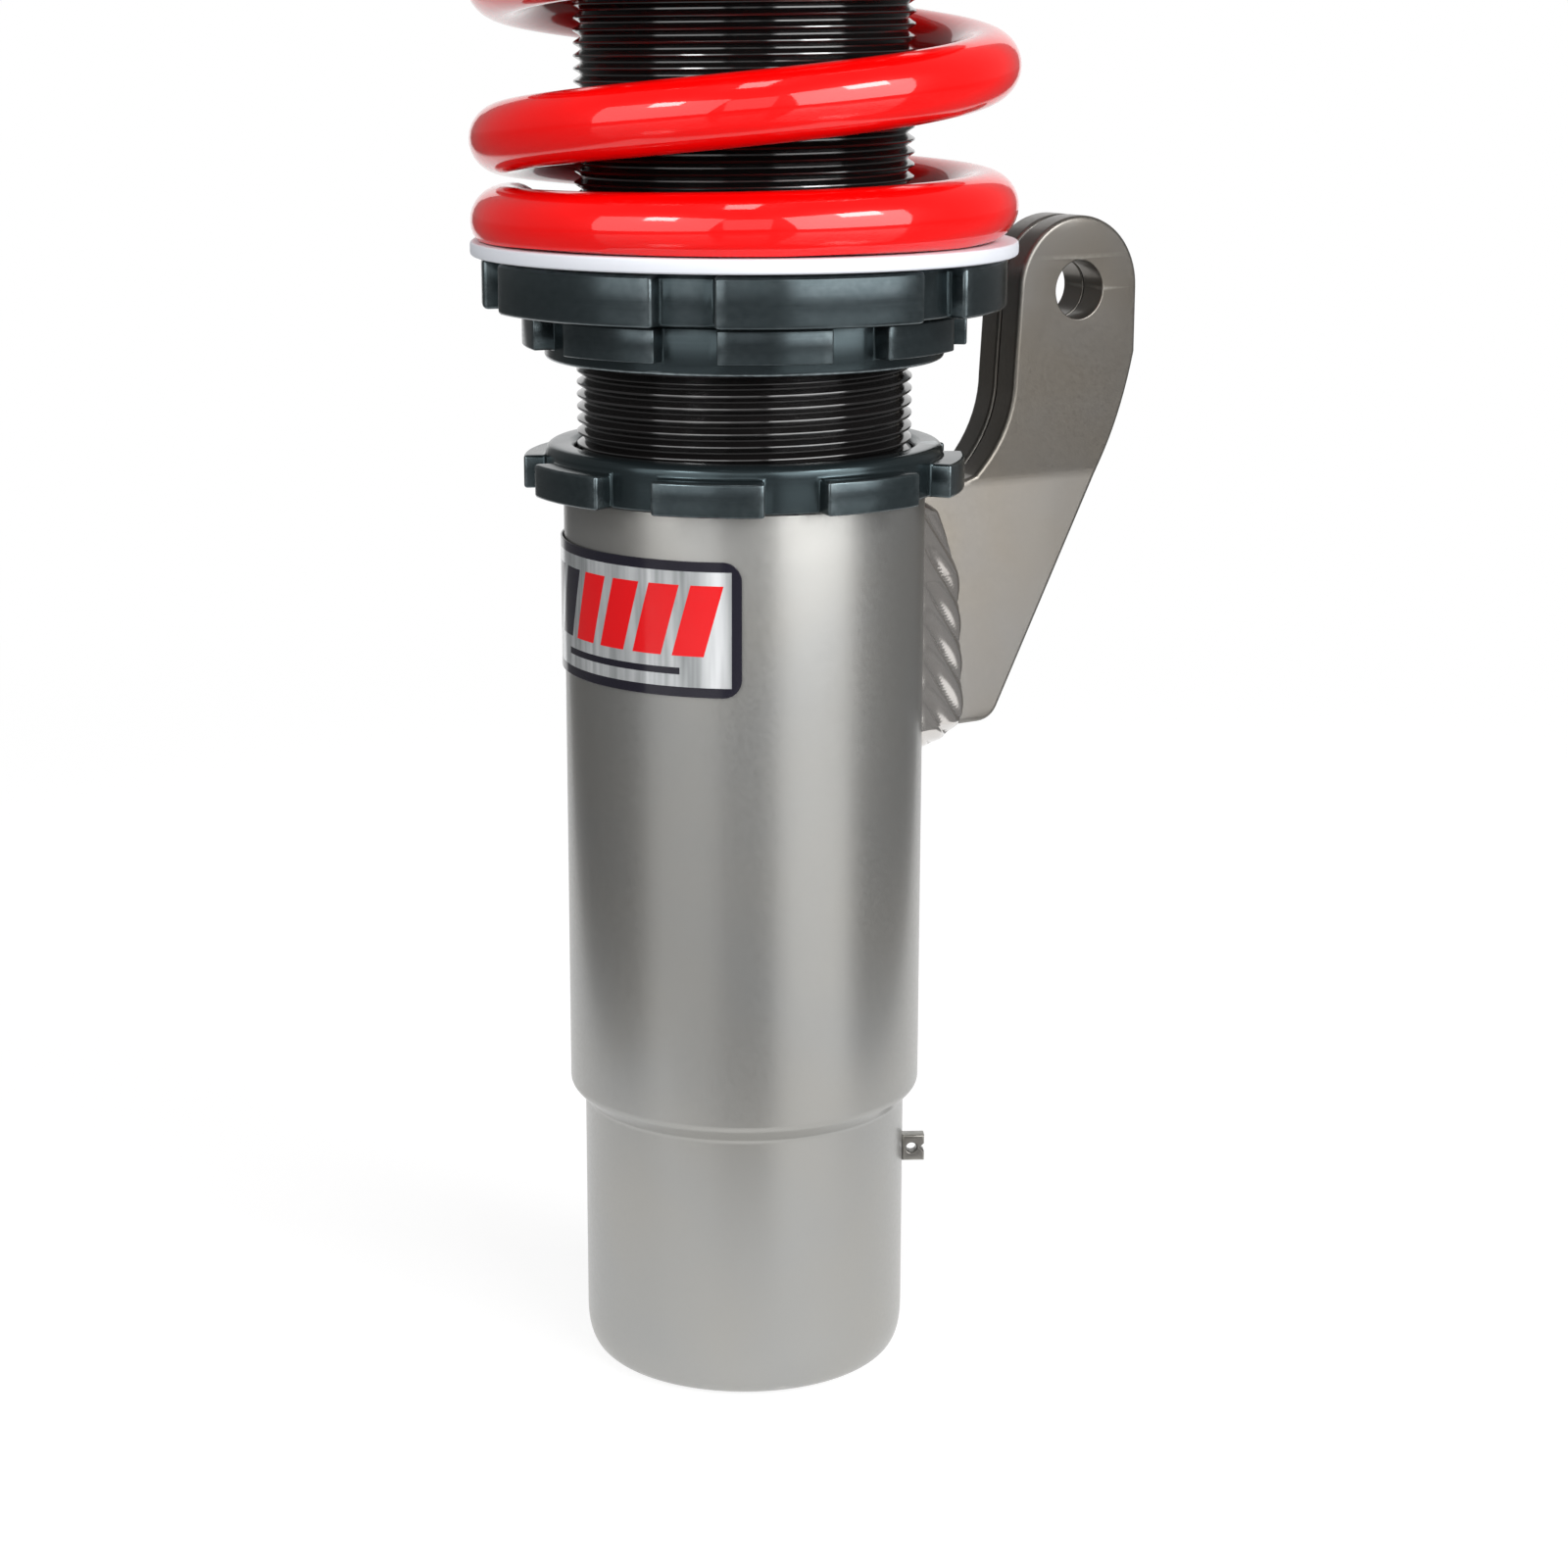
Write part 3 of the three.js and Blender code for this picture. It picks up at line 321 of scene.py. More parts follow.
FLOAT, VECTOR, COLOR = "NodeSocketFloat", "NodeSocketVector", "NodeSocketColor"
GREY = (0.5, 0.5, 0.5, 1.0)
WHITE = (1.0, 1.0, 1.0, 1.0)


def feed(tree, entry, value):
    """Gives an input a fixed value, or links another node's output to it."""
    if isinstance(value, bpy.types.NodeSocket):
        tree.links.new(value, entry)
    else:
        entry.default_value = value


def feed_named(tree, node, **values):
    """Feeds a node's inputs by name, with _ for each space."""
    for name, value in values.items():
        feed(tree, node.inputs[name.replace("_", " ")], value)


def add_node(tree, kind, settings=None, *ordered, **named):
    """A node with its settings, and with its inputs fed in order or by name. Returns its outputs."""
    node = tree.nodes.new(kind)
    for key, value in (settings or {}).items():
        setattr(node, key, value)
    for entry, value in zip(node.inputs, ordered):
        feed(tree, entry, value)
    feed_named(tree, node, **named)
    return node.outputs


def math_node(tree, operation, first, second, clamp=False):
    """The result of an operation on two values, each a number or another node's output."""
    settings = {"operation": operation, "use_clamp": clamp}
    return add_node(tree, "ShaderNodeMath", settings, first, second)["Value"]


def mixed(tree, factor, first, second):
    """The second colour where the factor is 1, and the first where it is 0."""
    return add_node(tree, "ShaderNodeMix", {"data_type": "RGBA"}, Factor=factor, A=first, B=second)["Result"]


def mixed_shader(tree, factor, first, second):
    """The second shader where the factor is 1, and the first where it is 0."""
    return add_node(tree, "ShaderNodeMixShader", {}, factor, first, second)[0]


def new_material(name):
    """A new material with its node tree and its surface shader."""
    material = bpy.data.materials.new(name)
    material.use_nodes = True
    return material, material.node_tree, material.node_tree.nodes["Principled BSDF"]


def new_group(name, inputs, outputs):
    """An empty shader group with named sockets, what it is given, and the node that takes its results."""
    tree = bpy.data.node_groups.new(name, "ShaderNodeTree")
    for label, kind, default in inputs:
        socket = tree.interface.new_socket(label, in_out="INPUT", socket_type=kind)
        socket.default_value = default
    for label, kind in outputs:
        tree.interface.new_socket(label, in_out="OUTPUT", socket_type=kind)
    return tree, tree.nodes.new("NodeGroupInput").outputs, tree.nodes.new("NodeGroupOutput")


def make_grain_group():
    """Fine noise between two levels, for roughness and for the height of a bump."""
    inputs = [("Stretch", VECTOR, (1000.0, 1000.0, 1000.0)), ("Low", FLOAT, 0.3), ("High", FLOAT, 0.5)]
    tree, given, results = new_group("paint_grain", inputs, [("Level", FLOAT), ("Height", FLOAT)])
    place = add_node(tree, "ShaderNodeTexCoord")["Object"]
    stretched = add_node(tree, "ShaderNodeVectorMath", {"operation": "MULTIPLY"}, place, given["Stretch"])
    noise = add_node(
        tree, "ShaderNodeTexNoise", Vector=stretched["Vector"], Scale=1.0, Detail=3.0, Roughness=0.6
    )["Fac"]
    level = add_node(
        tree,
        "ShaderNodeMapRange",
        Value=noise,
        From_Min=0.3,
        From_Max=0.7,
        To_Min=given["Low"],
        To_Max=given["High"],
    )["Result"]
    feed_named(tree, results, Level=level, Height=noise)
    return tree


def make_wear_and_sheen_group():
    """A base colour that turns lighter along convex edges, broken up by noise: partly wear, partly a painted
    highlight where the edges catch light.
    """
    inputs = [("Base", COLOR, GREY), ("Worn", COLOR, (0.8, 0.8, 0.8, 1.0)), ("Amount", FLOAT, 0.3)]
    tree, given, results = new_group("edge_wear_and_sheen", inputs, [("Color", COLOR), ("Mask", FLOAT)])
    convex = add_node(tree, "ShaderNodeNewGeometry")["Pointiness"]
    # the convex-edge mask carries wear and a painted edge highlight
    edge = add_node(tree, "ShaderNodeMapRange", Value=convex, From_Min=0.52, From_Max=0.62)["Result"]
    place = add_node(tree, "ShaderNodeTexCoord")["Object"]
    noise = add_node(tree, "ShaderNodeTexNoise", Vector=place, Scale=900.0, Detail=2.0)["Fac"]
    broken = math_node(tree, "MULTIPLY", edge, noise)
    amount = math_node(tree, "MULTIPLY", broken, given["Amount"], clamp=True)
    feed_named(tree, results, Color=mixed(tree, amount, given["Base"], given["Worn"]), Mask=amount)
    return tree


def make_mottle_group():
    """Slow variation of a colour, such as paint has from batch, heat and handling."""
    inputs = [("Color", COLOR, GREY), ("Tint", COLOR, GREY), ("Scale", FLOAT, 40.0), ("Amount", FLOAT, 0.3)]
    tree, given, results = new_group("slow_mottle", inputs, [("Color", COLOR)])
    place = add_node(tree, "ShaderNodeTexCoord")["Object"]
    noise = add_node(
        tree, "ShaderNodeTexNoise", Vector=place, Scale=given["Scale"], Detail=2.0, Roughness=0.5
    )["Fac"]
    level = add_node(
        tree, "ShaderNodeMapRange", Value=noise, From_Min=0.35, From_Max=0.65, To_Max=given["Amount"]
    )["Result"]
    feed_named(tree, results, Color=mixed(tree, level, given["Color"], given["Tint"]))
    return tree


GROUP_MAKERS = {
    "paint_grain": make_grain_group,
    "edge_wear_and_sheen": make_wear_and_sheen_group,
    "slow_mottle": make_mottle_group,
}


def place_group(tree, name, **values):
    """The outputs of the named effect, placed in a material. It is built the first time it is asked for."""
    group = bpy.data.node_groups.get(name) or GROUP_MAKERS[name]()
    return add_node(tree, "ShaderNodeGroup", {"node_tree": group}, **values)


# ---------------------------------------------------------------- finishes


def opaque(color):
    return (*color, 1.0)


def add_grain(tree, shader, stretch, smooth, rough, strength, depth):
    """Fine grain in a shader's roughness, and in its normal as a bump that is so many millimetres deep."""
    grain = place_group(tree, "paint_grain", Stretch=stretch, Low=smooth, High=rough)
    bump = add_node(
        tree, "ShaderNodeBump", Strength=strength, Distance=depth * MM, Height=grain["Height"]
    )["Normal"]
    feed_named(tree, shader, Roughness=grain["Level"], Normal=bump)


def finish(slot):
    """The material of a row in the table of finishes, built once."""
    material = bpy.data.materials.get("finish_" + slot)
    if material:
        return material
    look = LOOKS[slot]
    color = base_colour(slot)
    if slot in USER_COLOURS:
        color = getattr(bpy.context.scene.coilover_colours, USER_COLOURS[slot])
    tint, worn = srgb(*look.tint), srgb(*look.worn)
    material, tree, shader = new_material("finish_" + slot)
    mottle = place_group(tree, "slow_mottle", Color=opaque(color), Tint=opaque(tint), Amount=0.6)["Color"]
    # convex edges turn to the lighter edge colour: partly wear, partly a painted highlight where edges catch
    # light
    paint = place_group(tree, "edge_wear_and_sheen", Base=mottle, Worn=opaque(worn), Amount=look.wear)["Color"]
    feed_named(tree, shader, Base_Color=paint, Metallic=look.metallic, Specular_IOR_Level=look.level)
    feed_named(tree, shader, Coat_Weight=look.coat, Coat_Roughness=0.05, Coat_IOR=1.5)
    add_grain(tree, shader, look.stretch, look.smooth, look.rough, 0.5, look.bump)
    return material


def joined(tree, operation, masks):
    """One operation run through a list of masks. MULTIPLY is 1 where all are, and MAXIMUM where any is."""
    found = masks[0]
    for mask in masks[1:]:
        found = math_node(tree, operation, found, mask)
    return found


def slanted_bar(tree, across, up, left, width, bottom, top, slant):
    """A mask that is 1 inside a bar whose sides lean, in the label's own millimetres."""
    leaning = math_node(tree, "SUBTRACT", across, math_node(tree, "MULTIPLY", up, slant))
    sides = [
        math_node(tree, "GREATER_THAN", leaning, left),
        math_node(tree, "LESS_THAN", leaning, left + width),
        math_node(tree, "GREATER_THAN", up, bottom),
        math_node(tree, "LESS_THAN", up, top),
    ]
    return joined(tree, "MULTIPLY", sides)


def label_finish(width, height):
    """Silver foil with a black border, slanted bars and a rule, with dark vertical streaks painted into the
    foil's colour as reflections.
    """
    material, tree, shader = new_material("finish_silver_foil")
    chart = add_node(tree, "ShaderNodeUVMap", {"uv_map": "label_chart"})["UV"]
    place = add_node(tree, "ShaderNodeSeparateXYZ", Vector=chart)
    across = math_node(tree, "MULTIPLY", place["X"], width)
    up = math_node(tree, "MULTIPLY", place["Y"], height)

    def any_of(bars):
        """A mask that is 1 inside any bar, each given by its left, width, bottom, top and slant."""
        return joined(tree, "MAXIMUM", [slanted_bar(tree, across, up, *bar) for bar in bars])

    first, pitch, bar_width, slant = width - 13.2, 7.2, 5.3, 0.28
    bars = [(first - index * pitch, bar_width, 6.6, height - 3.8, slant) for index in range(9)]
    rule = (width - 36.0, 26.0, 3.6, 4.7, 0.0)
    border = LABEL_BORDER
    red = any_of(bars[:4])
    dark = any_of([*bars[4:], rule])
    inner = any_of([(border, width - 2 * border, border, height - border, 0.0)])

    # dark vertical streaks painted into the foil's colour, as painted reflections on the mirror-like foil
    painted_reflection_streaks = place_group(tree, "paint_grain", Stretch=(230.0, 230.0, 16.0), Low=0.0, High=1.0)["Level"]
    foil_and_painted_reflections = mixed(tree, painted_reflection_streaks, opaque(srgb(240, 242, 244)), opaque(srgb(108, 114, 114)))
    ink = opaque(srgb(24, 22, 34))
    printed = mixed(tree, dark, mixed(tree, red, foil_and_painted_reflections, opaque(srgb(222, 10, 18))), ink)
    marks = math_node(tree, "ADD", red, dark, clamp=True)
    bare = math_node(tree, "SUBTRACT", inner, marks, clamp=True)
    metallic = math_node(tree, "MULTIPLY", bare, 0.45)
    feed_named(tree, shader, Base_Color=mixed(tree, inner, ink, printed), Metallic=metallic)
    add_grain(tree, shader, (140.0, 140.0, 60.0), 0.10, 0.20, 0.6, 0.05)
    return material


# ---------------------------------------------------------------- points and outlines


def polar(radius, degrees, z):
    angle = math.radians(degrees)
    return Vector((radius * math.cos(angle), radius * math.sin(angle), z))


def wave(share):
    """Rises from 0 to 1 and falls back, once for each whole share."""
    return 0.5 - 0.5 * math.cos(2 * math.pi * share)


def arc(x, y, radius, start, end, steps):
    """Points of an arc between two angles in degrees, with both ends."""
    angles = [math.radians(start + (end - start) * step / steps) for step in range(steps + 1)]
    return [(x + radius * math.cos(angle), y + radius * math.sin(angle)) for angle in angles]


def circle(x, y, radius, sides):
    return arc(x, y, radius, 0, 360, sides)[:-1]


def hexagon(across_flats, x, y):
    return circle(x, y, across_flats / math.sqrt(3), 6)


def slot_outline(x, y, radius, half_travel, sides):
    """A slot with round ends along X."""
    right = arc(x + half_travel, y, radius, -90, 90, sides)
    return right + arc(x - half_travel, y, radius, 90, 270, sides)


def rounded_rectangle(left, bottom, right, top, corner):
    """A rectangle's outline with its corners rounded."""
    left, bottom, right, top = left + corner, bottom + corner, right - corner, top - corner
    outline = []
    for x, y, start in ((right, bottom, -90), (right, top, 0), (left, top, 90), (left, bottom, 180)):
        outline += arc(x, y, corner, start, start + 90, 8)
    return outline


def curve_points(start, control, end, steps=10):
    """Points of a quadratic curve after its start."""
    start, control, end = Vector(start), Vector(control), Vector(end)
    return [
        tuple(start.lerp(control, step / steps).lerp(control.lerp(end, step / steps), step / steps))
        for step in range(1, steps + 1)
    ]


def rounded(section, radius, steps=3):
    """A closed section with its corners rounded. A corner's third number is its own radius."""
    points = []
    for index, corner in enumerate(section):
        here = Vector(corner[:2])
        before = Vector(section[index - 1][:2]) - here
        after = Vector(section[(index + 1) % len(section)][:2]) - here
        own = corner[2] if len(corner) > 2 else radius
        reach = min(own, 0.45 * before.length, 0.45 * after.length)
        if here.x < WELD_DISTANCE or reach < WELD_DISTANCE:
            points.append(here)
            continue
        start = here + before.normalized() * reach
        end = here + after.normalized() * reach
        for step in range(steps + 1):
            share = step / steps
            points.append(start.lerp(here, share).lerp(here.lerp(end, share), share))
    return points


# ---------------------------------------------------------------- mesh helpers

UPRIGHT = Matrix.Rotation(math.radians(90), 4, "X")  # stands a flat plate up in X and Z
STUD_PLACES = arc(0.0, 0.0, STUD_CIRCLE, 90, 330, 2)


def add_rows(mesh, rows, wrap_rows=True, wrap_columns=True):
    """Faces between rows of points. wrap_columns closes rows, and wrap_rows joins the last to the first."""
    verts = [[mesh.verts.new(point) for point in row] for row in rows]
    count = len(verts[0])
    for index in range(len(verts) if wrap_rows else len(verts) - 1):
        lower, upper = verts[index], verts[(index + 1) % len(verts)]
        for side in range(count if wrap_columns else count - 1):
            following = (side + 1) % count
            mesh.faces.new((lower[side], lower[following], upper[following], upper[side]))
    return verts


def add_sweep(mesh, rows):
    """A solid body from closed rows of points, with a face over each end."""
    verts = add_rows(mesh, rows, wrap_rows=False)
    mesh.faces.new(verts[0])
    mesh.faces.new(verts[-1])


def add_turned(mesh, section, sides, radius_of=None, x=0.0, y=0.0, closed=True):
    """A round shape from a section. radius_of(radius, azimuth) can change the radius round the axis."""
    middle = Vector((x, y, 0.0))
    azimuths = [side * 360 / sides for side in range(sides)]
    rows = []
    for radius, z in section:
        radii = [radius_of(radius, azimuth) if radius_of else radius for azimuth in azimuths]
        rows.append([polar(wide, azimuth, z) + middle for wide, azimuth in zip(radii, azimuths)])
    add_rows(mesh, rows, wrap_rows=closed)


def add_hex(mesh, across, bore, bottom, top, x=0.0, y=0.0):
    """A hexagon nut with its corners turned down at both ends."""
    flat = across / 2
    corner = flat / math.cos(math.radians(30))
    turned_corner, face_inset = flat * 1.04, 0.15
    drop = (corner - turned_corner) * 0.5 + 0.3

    def hex_radius(radius, azimuth):
        wide = flat / math.cos(math.radians((azimuth + 30) % 60 - 30))
        if radius == bore:
            return bore
        return wide if radius == corner else min(wide, turned_corner) - face_inset

    section = [(bore, bottom), (turned_corner, bottom), (corner, bottom + drop)]
    section += [(corner, top - drop), (turned_corner, top), (bore, top)]
    add_turned(mesh, section, 72, hex_radius, x, y)


def add_plate(mesh, outlines, bottom, top, rounding, facing=None):
    """A flat plate with rounded edges. The first outline is its edge, and the others are holes through it."""
    outline = bpy.data.curves.new("plate_outline", "CURVE")
    outline.dimensions = "2D"
    outline.fill_mode = "BOTH"
    outline.extrude = (top - bottom) / 2 - rounding
    outline.bevel_depth = rounding
    outline.bevel_resolution = 2
    outline.offset = -rounding
    for points in outlines:
        spline = outline.splines.new("POLY")
        spline.points.add(len(points) - 1)
        spline.use_cyclic_u = True
        for point, (x, y) in zip(spline.points, points):
            point.co = (x, y, 0.0, 1.0)
    holder = bpy.data.objects.new("plate_holder", outline)
    bpy.context.scene.collection.objects.link(holder)
    bpy.context.view_layer.update()
    flat = bpy.data.meshes.new_from_object(holder.evaluated_get(bpy.context.evaluated_depsgraph_get()))
    flat.transform((facing or Matrix.Identity(4)) @ Matrix.Translation((0, 0, (bottom + top) / 2)))
    mesh.from_mesh(flat)
    bpy.data.objects.remove(holder)
    bpy.data.curves.remove(outline)
    bpy.data.meshes.remove(flat)


def add_cells(mesh, azimuths, corner, filled, radial, layers):
    """A ring of cells in azimuth, radius and height. Faces are made between a full and an empty cell."""
    count = len(azimuths)
    verts = {}

    def vert(turn, ring, layer):
        key = (turn % count, ring, layer)
        if key not in verts:
            radius, z = corner(ring, layer)
            verts[key] = mesh.verts.new(polar(radius, azimuths[key[0]], z))
        return verts[key]

    def solid(turn, ring, layer):
        inside = 0 <= ring < radial and 0 <= layer < layers
        return inside and filled(turn % count, ring, layer)

    for cell in product(range(count), range(radial), range(layers)):
        for axis, ahead in product(range(3), (0, 1)):
            neighbour = list(cell)
            neighbour[axis] += 2 * ahead - 1
            if not solid(*cell) or solid(*neighbour):
                continue
            corners = []
            for first, second in ((0, 0), (1, 0), (1, 1), (0, 1)):
                shift = [first, second]
                shift.insert(axis, ahead)
                corners.append(vert(*(start + more for start, more in zip(cell, shift))))
            mesh.faces.new(corners)


def slice_mesh(mesh, point, normal):
    """Cuts the faces that cross a plane, so that the mesh can bend there."""
    geometry = mesh.verts[:] + mesh.edges[:] + mesh.faces[:]
    bmesh.ops.bisect_plane(mesh, geom=geometry, plane_co=point, plane_no=normal)


def tidy_mesh(mesh):
    bmesh.ops.remove_doubles(mesh, verts=mesh.verts, dist=WELD_DISTANCE)
    bmesh.ops.dissolve_degenerate(mesh, edges=mesh.edges, dist=WELD_DISTANCE)
    bmesh.ops.recalc_face_normals(mesh, faces=mesh.faces)


def new_piece(name, mesh, body, slot, nodes, material=None, smooth=SMOOTH_ANGLE):
    """Turns a bmesh in millimetres into a piece that rides on a body and stands for CAD nodes."""
    tidy_mesh(mesh)
    bmesh.ops.scale(mesh, vec=(MM, MM, MM), verts=mesh.verts)
    data = bpy.data.meshes.new(name)
    mesh.to_mesh(data)
    mesh.free()
    data.shade_smooth()
    data.set_sharp_from_angle(angle=smooth)
    piece = bpy.data.objects.new(name, data)
    bpy.context.scene.collection.objects.link(piece)
    data.materials.append(material or finish(slot))
    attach(piece, body)
    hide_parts(*nodes)
    return piece


def turned_piece(name, section, body, slot, nodes, rounding=0.4, sides=None, radius_of=None):
    """A single turned piece from its half section in millimetres."""
    mesh = bmesh.new()
    sides = sides or bpy.context.scene.coilover_sizes.round_sides
    add_turned(mesh, rounded(section, rounding), sides, radius_of)
    return new_piece(name, mesh, body, slot, nodes)


def ring_piece(name, inner, outer, body, slot, node, rounding, sides=None):
    """A flat ring between two radii, as high as its CAD node."""
    bottom, top = heights(node)
    section = [(inner, bottom), (outer, bottom), (outer, top), (inner, top)]
    turned_piece(name, section, body, slot, [node], rounding, sides)


def settle(piece, reshade=True):
    """Applies the piece's modifiers, and shades it smooth again unless they set its normals."""
    bpy.context.view_layer.update()
    shaped = bpy.data.meshes.new_from_object(piece.evaluated_get(bpy.context.evaluated_depsgraph_get()))
    piece.modifiers.clear()
    old = piece.data
    piece.data = shaped
    shaped.name = piece.name
    bpy.data.meshes.remove(old)
    if reshade:
        shaped.shade_smooth()
        shaped.set_sharp_from_angle(angle=SMOOTH_ANGLE)


def soften(piece, width):
    """Rounds the piece's sharp edges for good."""
    bevel = piece.modifiers.new("edge_round", "BEVEL")
    bevel.width = width
    bevel.segments = 3
    bevel.limit_method = "ANGLE"
    bevel.angle_limit = math.radians(30)
    bevel.harden_normals = False
    settle(piece)


def flat_shading(piece):
    """Keeps broad faces flat beside their rounded edges."""
    weighted = piece.modifiers.new("broad_faces", "WEIGHTED_NORMAL")
    weighted.mode = "FACE_AREA"
    weighted.weight = 100
    weighted.keep_sharp = True
    settle(piece, reshade=False)


def lug_azimuths(count, degrees, first):
    """Azimuths round a ring, one at each side of each lug, and whether the cell after each is in a lug."""
    azimuths, in_lug = [], []
    pitch = 360 / count
    cell_degrees = 3.0
    for lug in range(count):
        start = first + lug * pitch - degrees / 2
        for width, inside in ((degrees, True), (pitch - degrees, False)):
            cells = max(1, round(width / cell_degrees))
            for cell in range(cells):
                azimuths.append(start + width * cell / cells)
                in_lug.append(inside)
            start += width
    return azimuths, in_lug


# ---------------------------------------------------------------- housing and what is fixed to it


def build_housing():
    plug_bore, plug_top = BASE_RADIUS + CLEARANCE, BASE_TOP + CLEARANCE
    foot = (SLIP_RADIUS - FOOT_REACH, 0.0)
    tube = [(plug_bore, 0.0, 0.3), foot]
    tube += curve_points(foot, (SLIP_RADIUS, 0.0), (SLIP_RADIUS, FOOT_RISE))
    tube += [(SLIP_RADIUS, SLIP_TOP, 0.5), (SLEEVE_RADIUS, SLEEVE_BOTTOM, 0.7)]
    tube += [(SLEEVE_RADIUS, HOUSING_TOP, 0.6), (BORE_GAP, HOUSING_TOP, 0.5), (BORE_GAP, HOUSING_SHELF)]
    tube += [(HOUSING_HOLLOW, HOUSING_SHELF), (HOUSING_HOLLOW, plug_top), (plug_bore, plug_top)]
    turned_piece("housing_tube", tube, "housing", "titanium_paint", ["lower_housing"])
    plug = [(0.0, 0.0), (BASE_RADIUS, 0.0, 0.5), (BASE_RADIUS, BASE_TOP), (0.0, BASE_TOP)]
    turned_piece("base_plug", plug, "housing", "titanium_paint", ["housing_base"])
    build_tab()


def build_tab():
    """A small plate that stands out from the slip tube, with a notch in its end and a hole through it."""
    start = SLIP_RADIUS + 0.05
    half = (TAB_HIGH - TAB_LOW) / 2
    end = [(TAB_REACH, -half), (TAB_REACH, -TAB_NOTCH), (TAB_REACH - TAB_NOTCH, 0.0)]
    end += [(TAB_REACH, TAB_NOTCH), (TAB_REACH, half)]
    hole = circle(start + (TAB_REACH - start) * 0.42, 0.0, 0.9, 24)
    mesh = bmesh.new()
    outline = [(start, -half), *end, (start, half)]
    add_plate(mesh, [outline, hole], -TAB_WIDTH / 2, TAB_WIDTH / 2, 0.3, UPRIGHT)
    bmesh.ops.translate(mesh, vec=(0, 0, (TAB_LOW + TAB_HIGH) / 2), verts=mesh.verts)
    turn = Matrix.Rotation(math.radians(TAB_AZIMUTH), 3, "Z")
    bmesh.ops.rotate(mesh, cent=(0, 0, 0), matrix=turn, verts=mesh.verts)
    new_piece("stop_tab", mesh, "housing", "bracket_paint", ["locating_tab"])


def build_label():
    """A flat plate with a chart for its print, cut into strips and rolled round the sleeve."""
    bottom, top = heights("label_plate")
    height = top - bottom
    width = math.radians(LABEL_SWEEP) * LABEL_INNER
    mesh = bmesh.new()
    add_plate(mesh, [rounded_rectangle(0.0, 0.0, width, height, LABEL_CORNER)], 0.0, LABEL_THICKNESS, 0.06)
    strips = 60
    for strip in range(1, strips):
        slice_mesh(mesh, (width * strip / strips, 0, 0), (1, 0, 0))
    chart = mesh.loops.layers.uv.new("label_chart")
    for face in mesh.faces:
        for loop in face.loops:
            loop[chart].uv = (loop.vert.co.x / width, loop.vert.co.y / height)
    for vert in mesh.verts:
        azimuth = LABEL_RIGHT - LABEL_SWEEP * (1 - vert.co.x / width)
        vert.co = polar(LABEL_INNER + vert.co.z, azimuth, bottom + vert.co.y)
    new_piece("foil_label", mesh, "housing", "silver_foil", ["label_plate"], label_finish(width, height))


def bracket_outline():
    """The plate's edge in X and Z, from the lug's tube side round the wing and back."""
    neck, waist, fillet = (51.1, 166.0), (43.3, 149.7), (36.0, 147.6)
    root = SLEEVE_RADIUS - 1.9
    foot, corner, shoulder = (39.6, WING_FOOT), (44.0, 110.3), (69.4, CREASE_Z)
    hip = (LINK_X + LUG_RADIUS, 169.0)
    # the middle point of each curve is the one that it bends towards
    points = [(LINK_X - LUG_RADIUS, LINK_Z), neck]
    points += curve_points(neck, (neck[0], 156.8), waist)
    points += curve_points(waist, (39.6, CREASE_Z), fillet, 6)
    points += [(root, fillet[1]), (root, WING_FOOT), foot]
    points += curve_points(foot, (42.5, WING_FOOT), corner, 6)
    points.append(shoulder)
    points += curve_points(shoulder, (74.6, 157.1), hip)
    return points + arc(LINK_X, LINK_Z, LUG_RADIUS, 0, 180, 40)[:-1]


def lean(z):
    """How far the plate leans outwards at a height: nothing above the crease, then a soft bend."""
    depth = CREASE_Z - z
    soft = CREASE_SOFTNESS
    if depth <= -soft / 2:
        return 0.0
    if depth >= soft / 2:
        return FLARE * depth
    return FLARE * (depth + soft / 2) ** 2 / (2 * soft)


def sharpen_hole(mesh, faces):
    """Draws the rounded mouth of the link hole in to a small drilled edge."""
    kept = 0.35
    for vert in mesh.verts:
        x, z = vert.co.x - LINK_X, vert.co.z - LINK_Z
        radius = math.hypot(x, z)
        if radius > LINK_RADIUS + PLATE_EDGE + 0.01:
            continue
        face = min(faces, key=lambda level: abs(level - vert.co.y))
        shrunk = (LINK_RADIUS + (radius - LINK_RADIUS) * kept) / radius
        vert.co = (LINK_X + x * shrunk, face + (vert.co.y - face) * kept, LINK_Z + z * shrunk)


def build_bracket():
    """Two link plates, mirrored, each with its weld. The lower part of each leans outwards."""
    outlines = [bracket_outline(), circle(LINK_X, LINK_Z, LINK_RADIUS, 64)]
    for side, node in ((-1, "link_bracket_front"), (1, "link_bracket_rear")):
        mesh = bmesh.new()
        inner, outer = sorted((-side * PLATE_INNER, -side * PLATE_OUTER))
        add_plate(mesh, outlines, inner, outer, PLATE_EDGE, UPRIGHT)
        sharpen_hole(mesh, (side * PLATE_INNER, side * PLATE_OUTER))
        for step in range(-4, 5):
            slice_mesh(mesh, (0, 0, CREASE_Z + step * CREASE_SOFTNESS / 8), (0, 0, 1))
        for vert in mesh.verts:
            vert.co.y += side * lean(vert.co.z)
        name = node.replace("link_bracket", "link_plate")
        flat_shading(new_piece(name, mesh, "housing", "bracket_paint", [node]))
        build_weld(side, node.replace("link_bracket", "bracket_weld"))


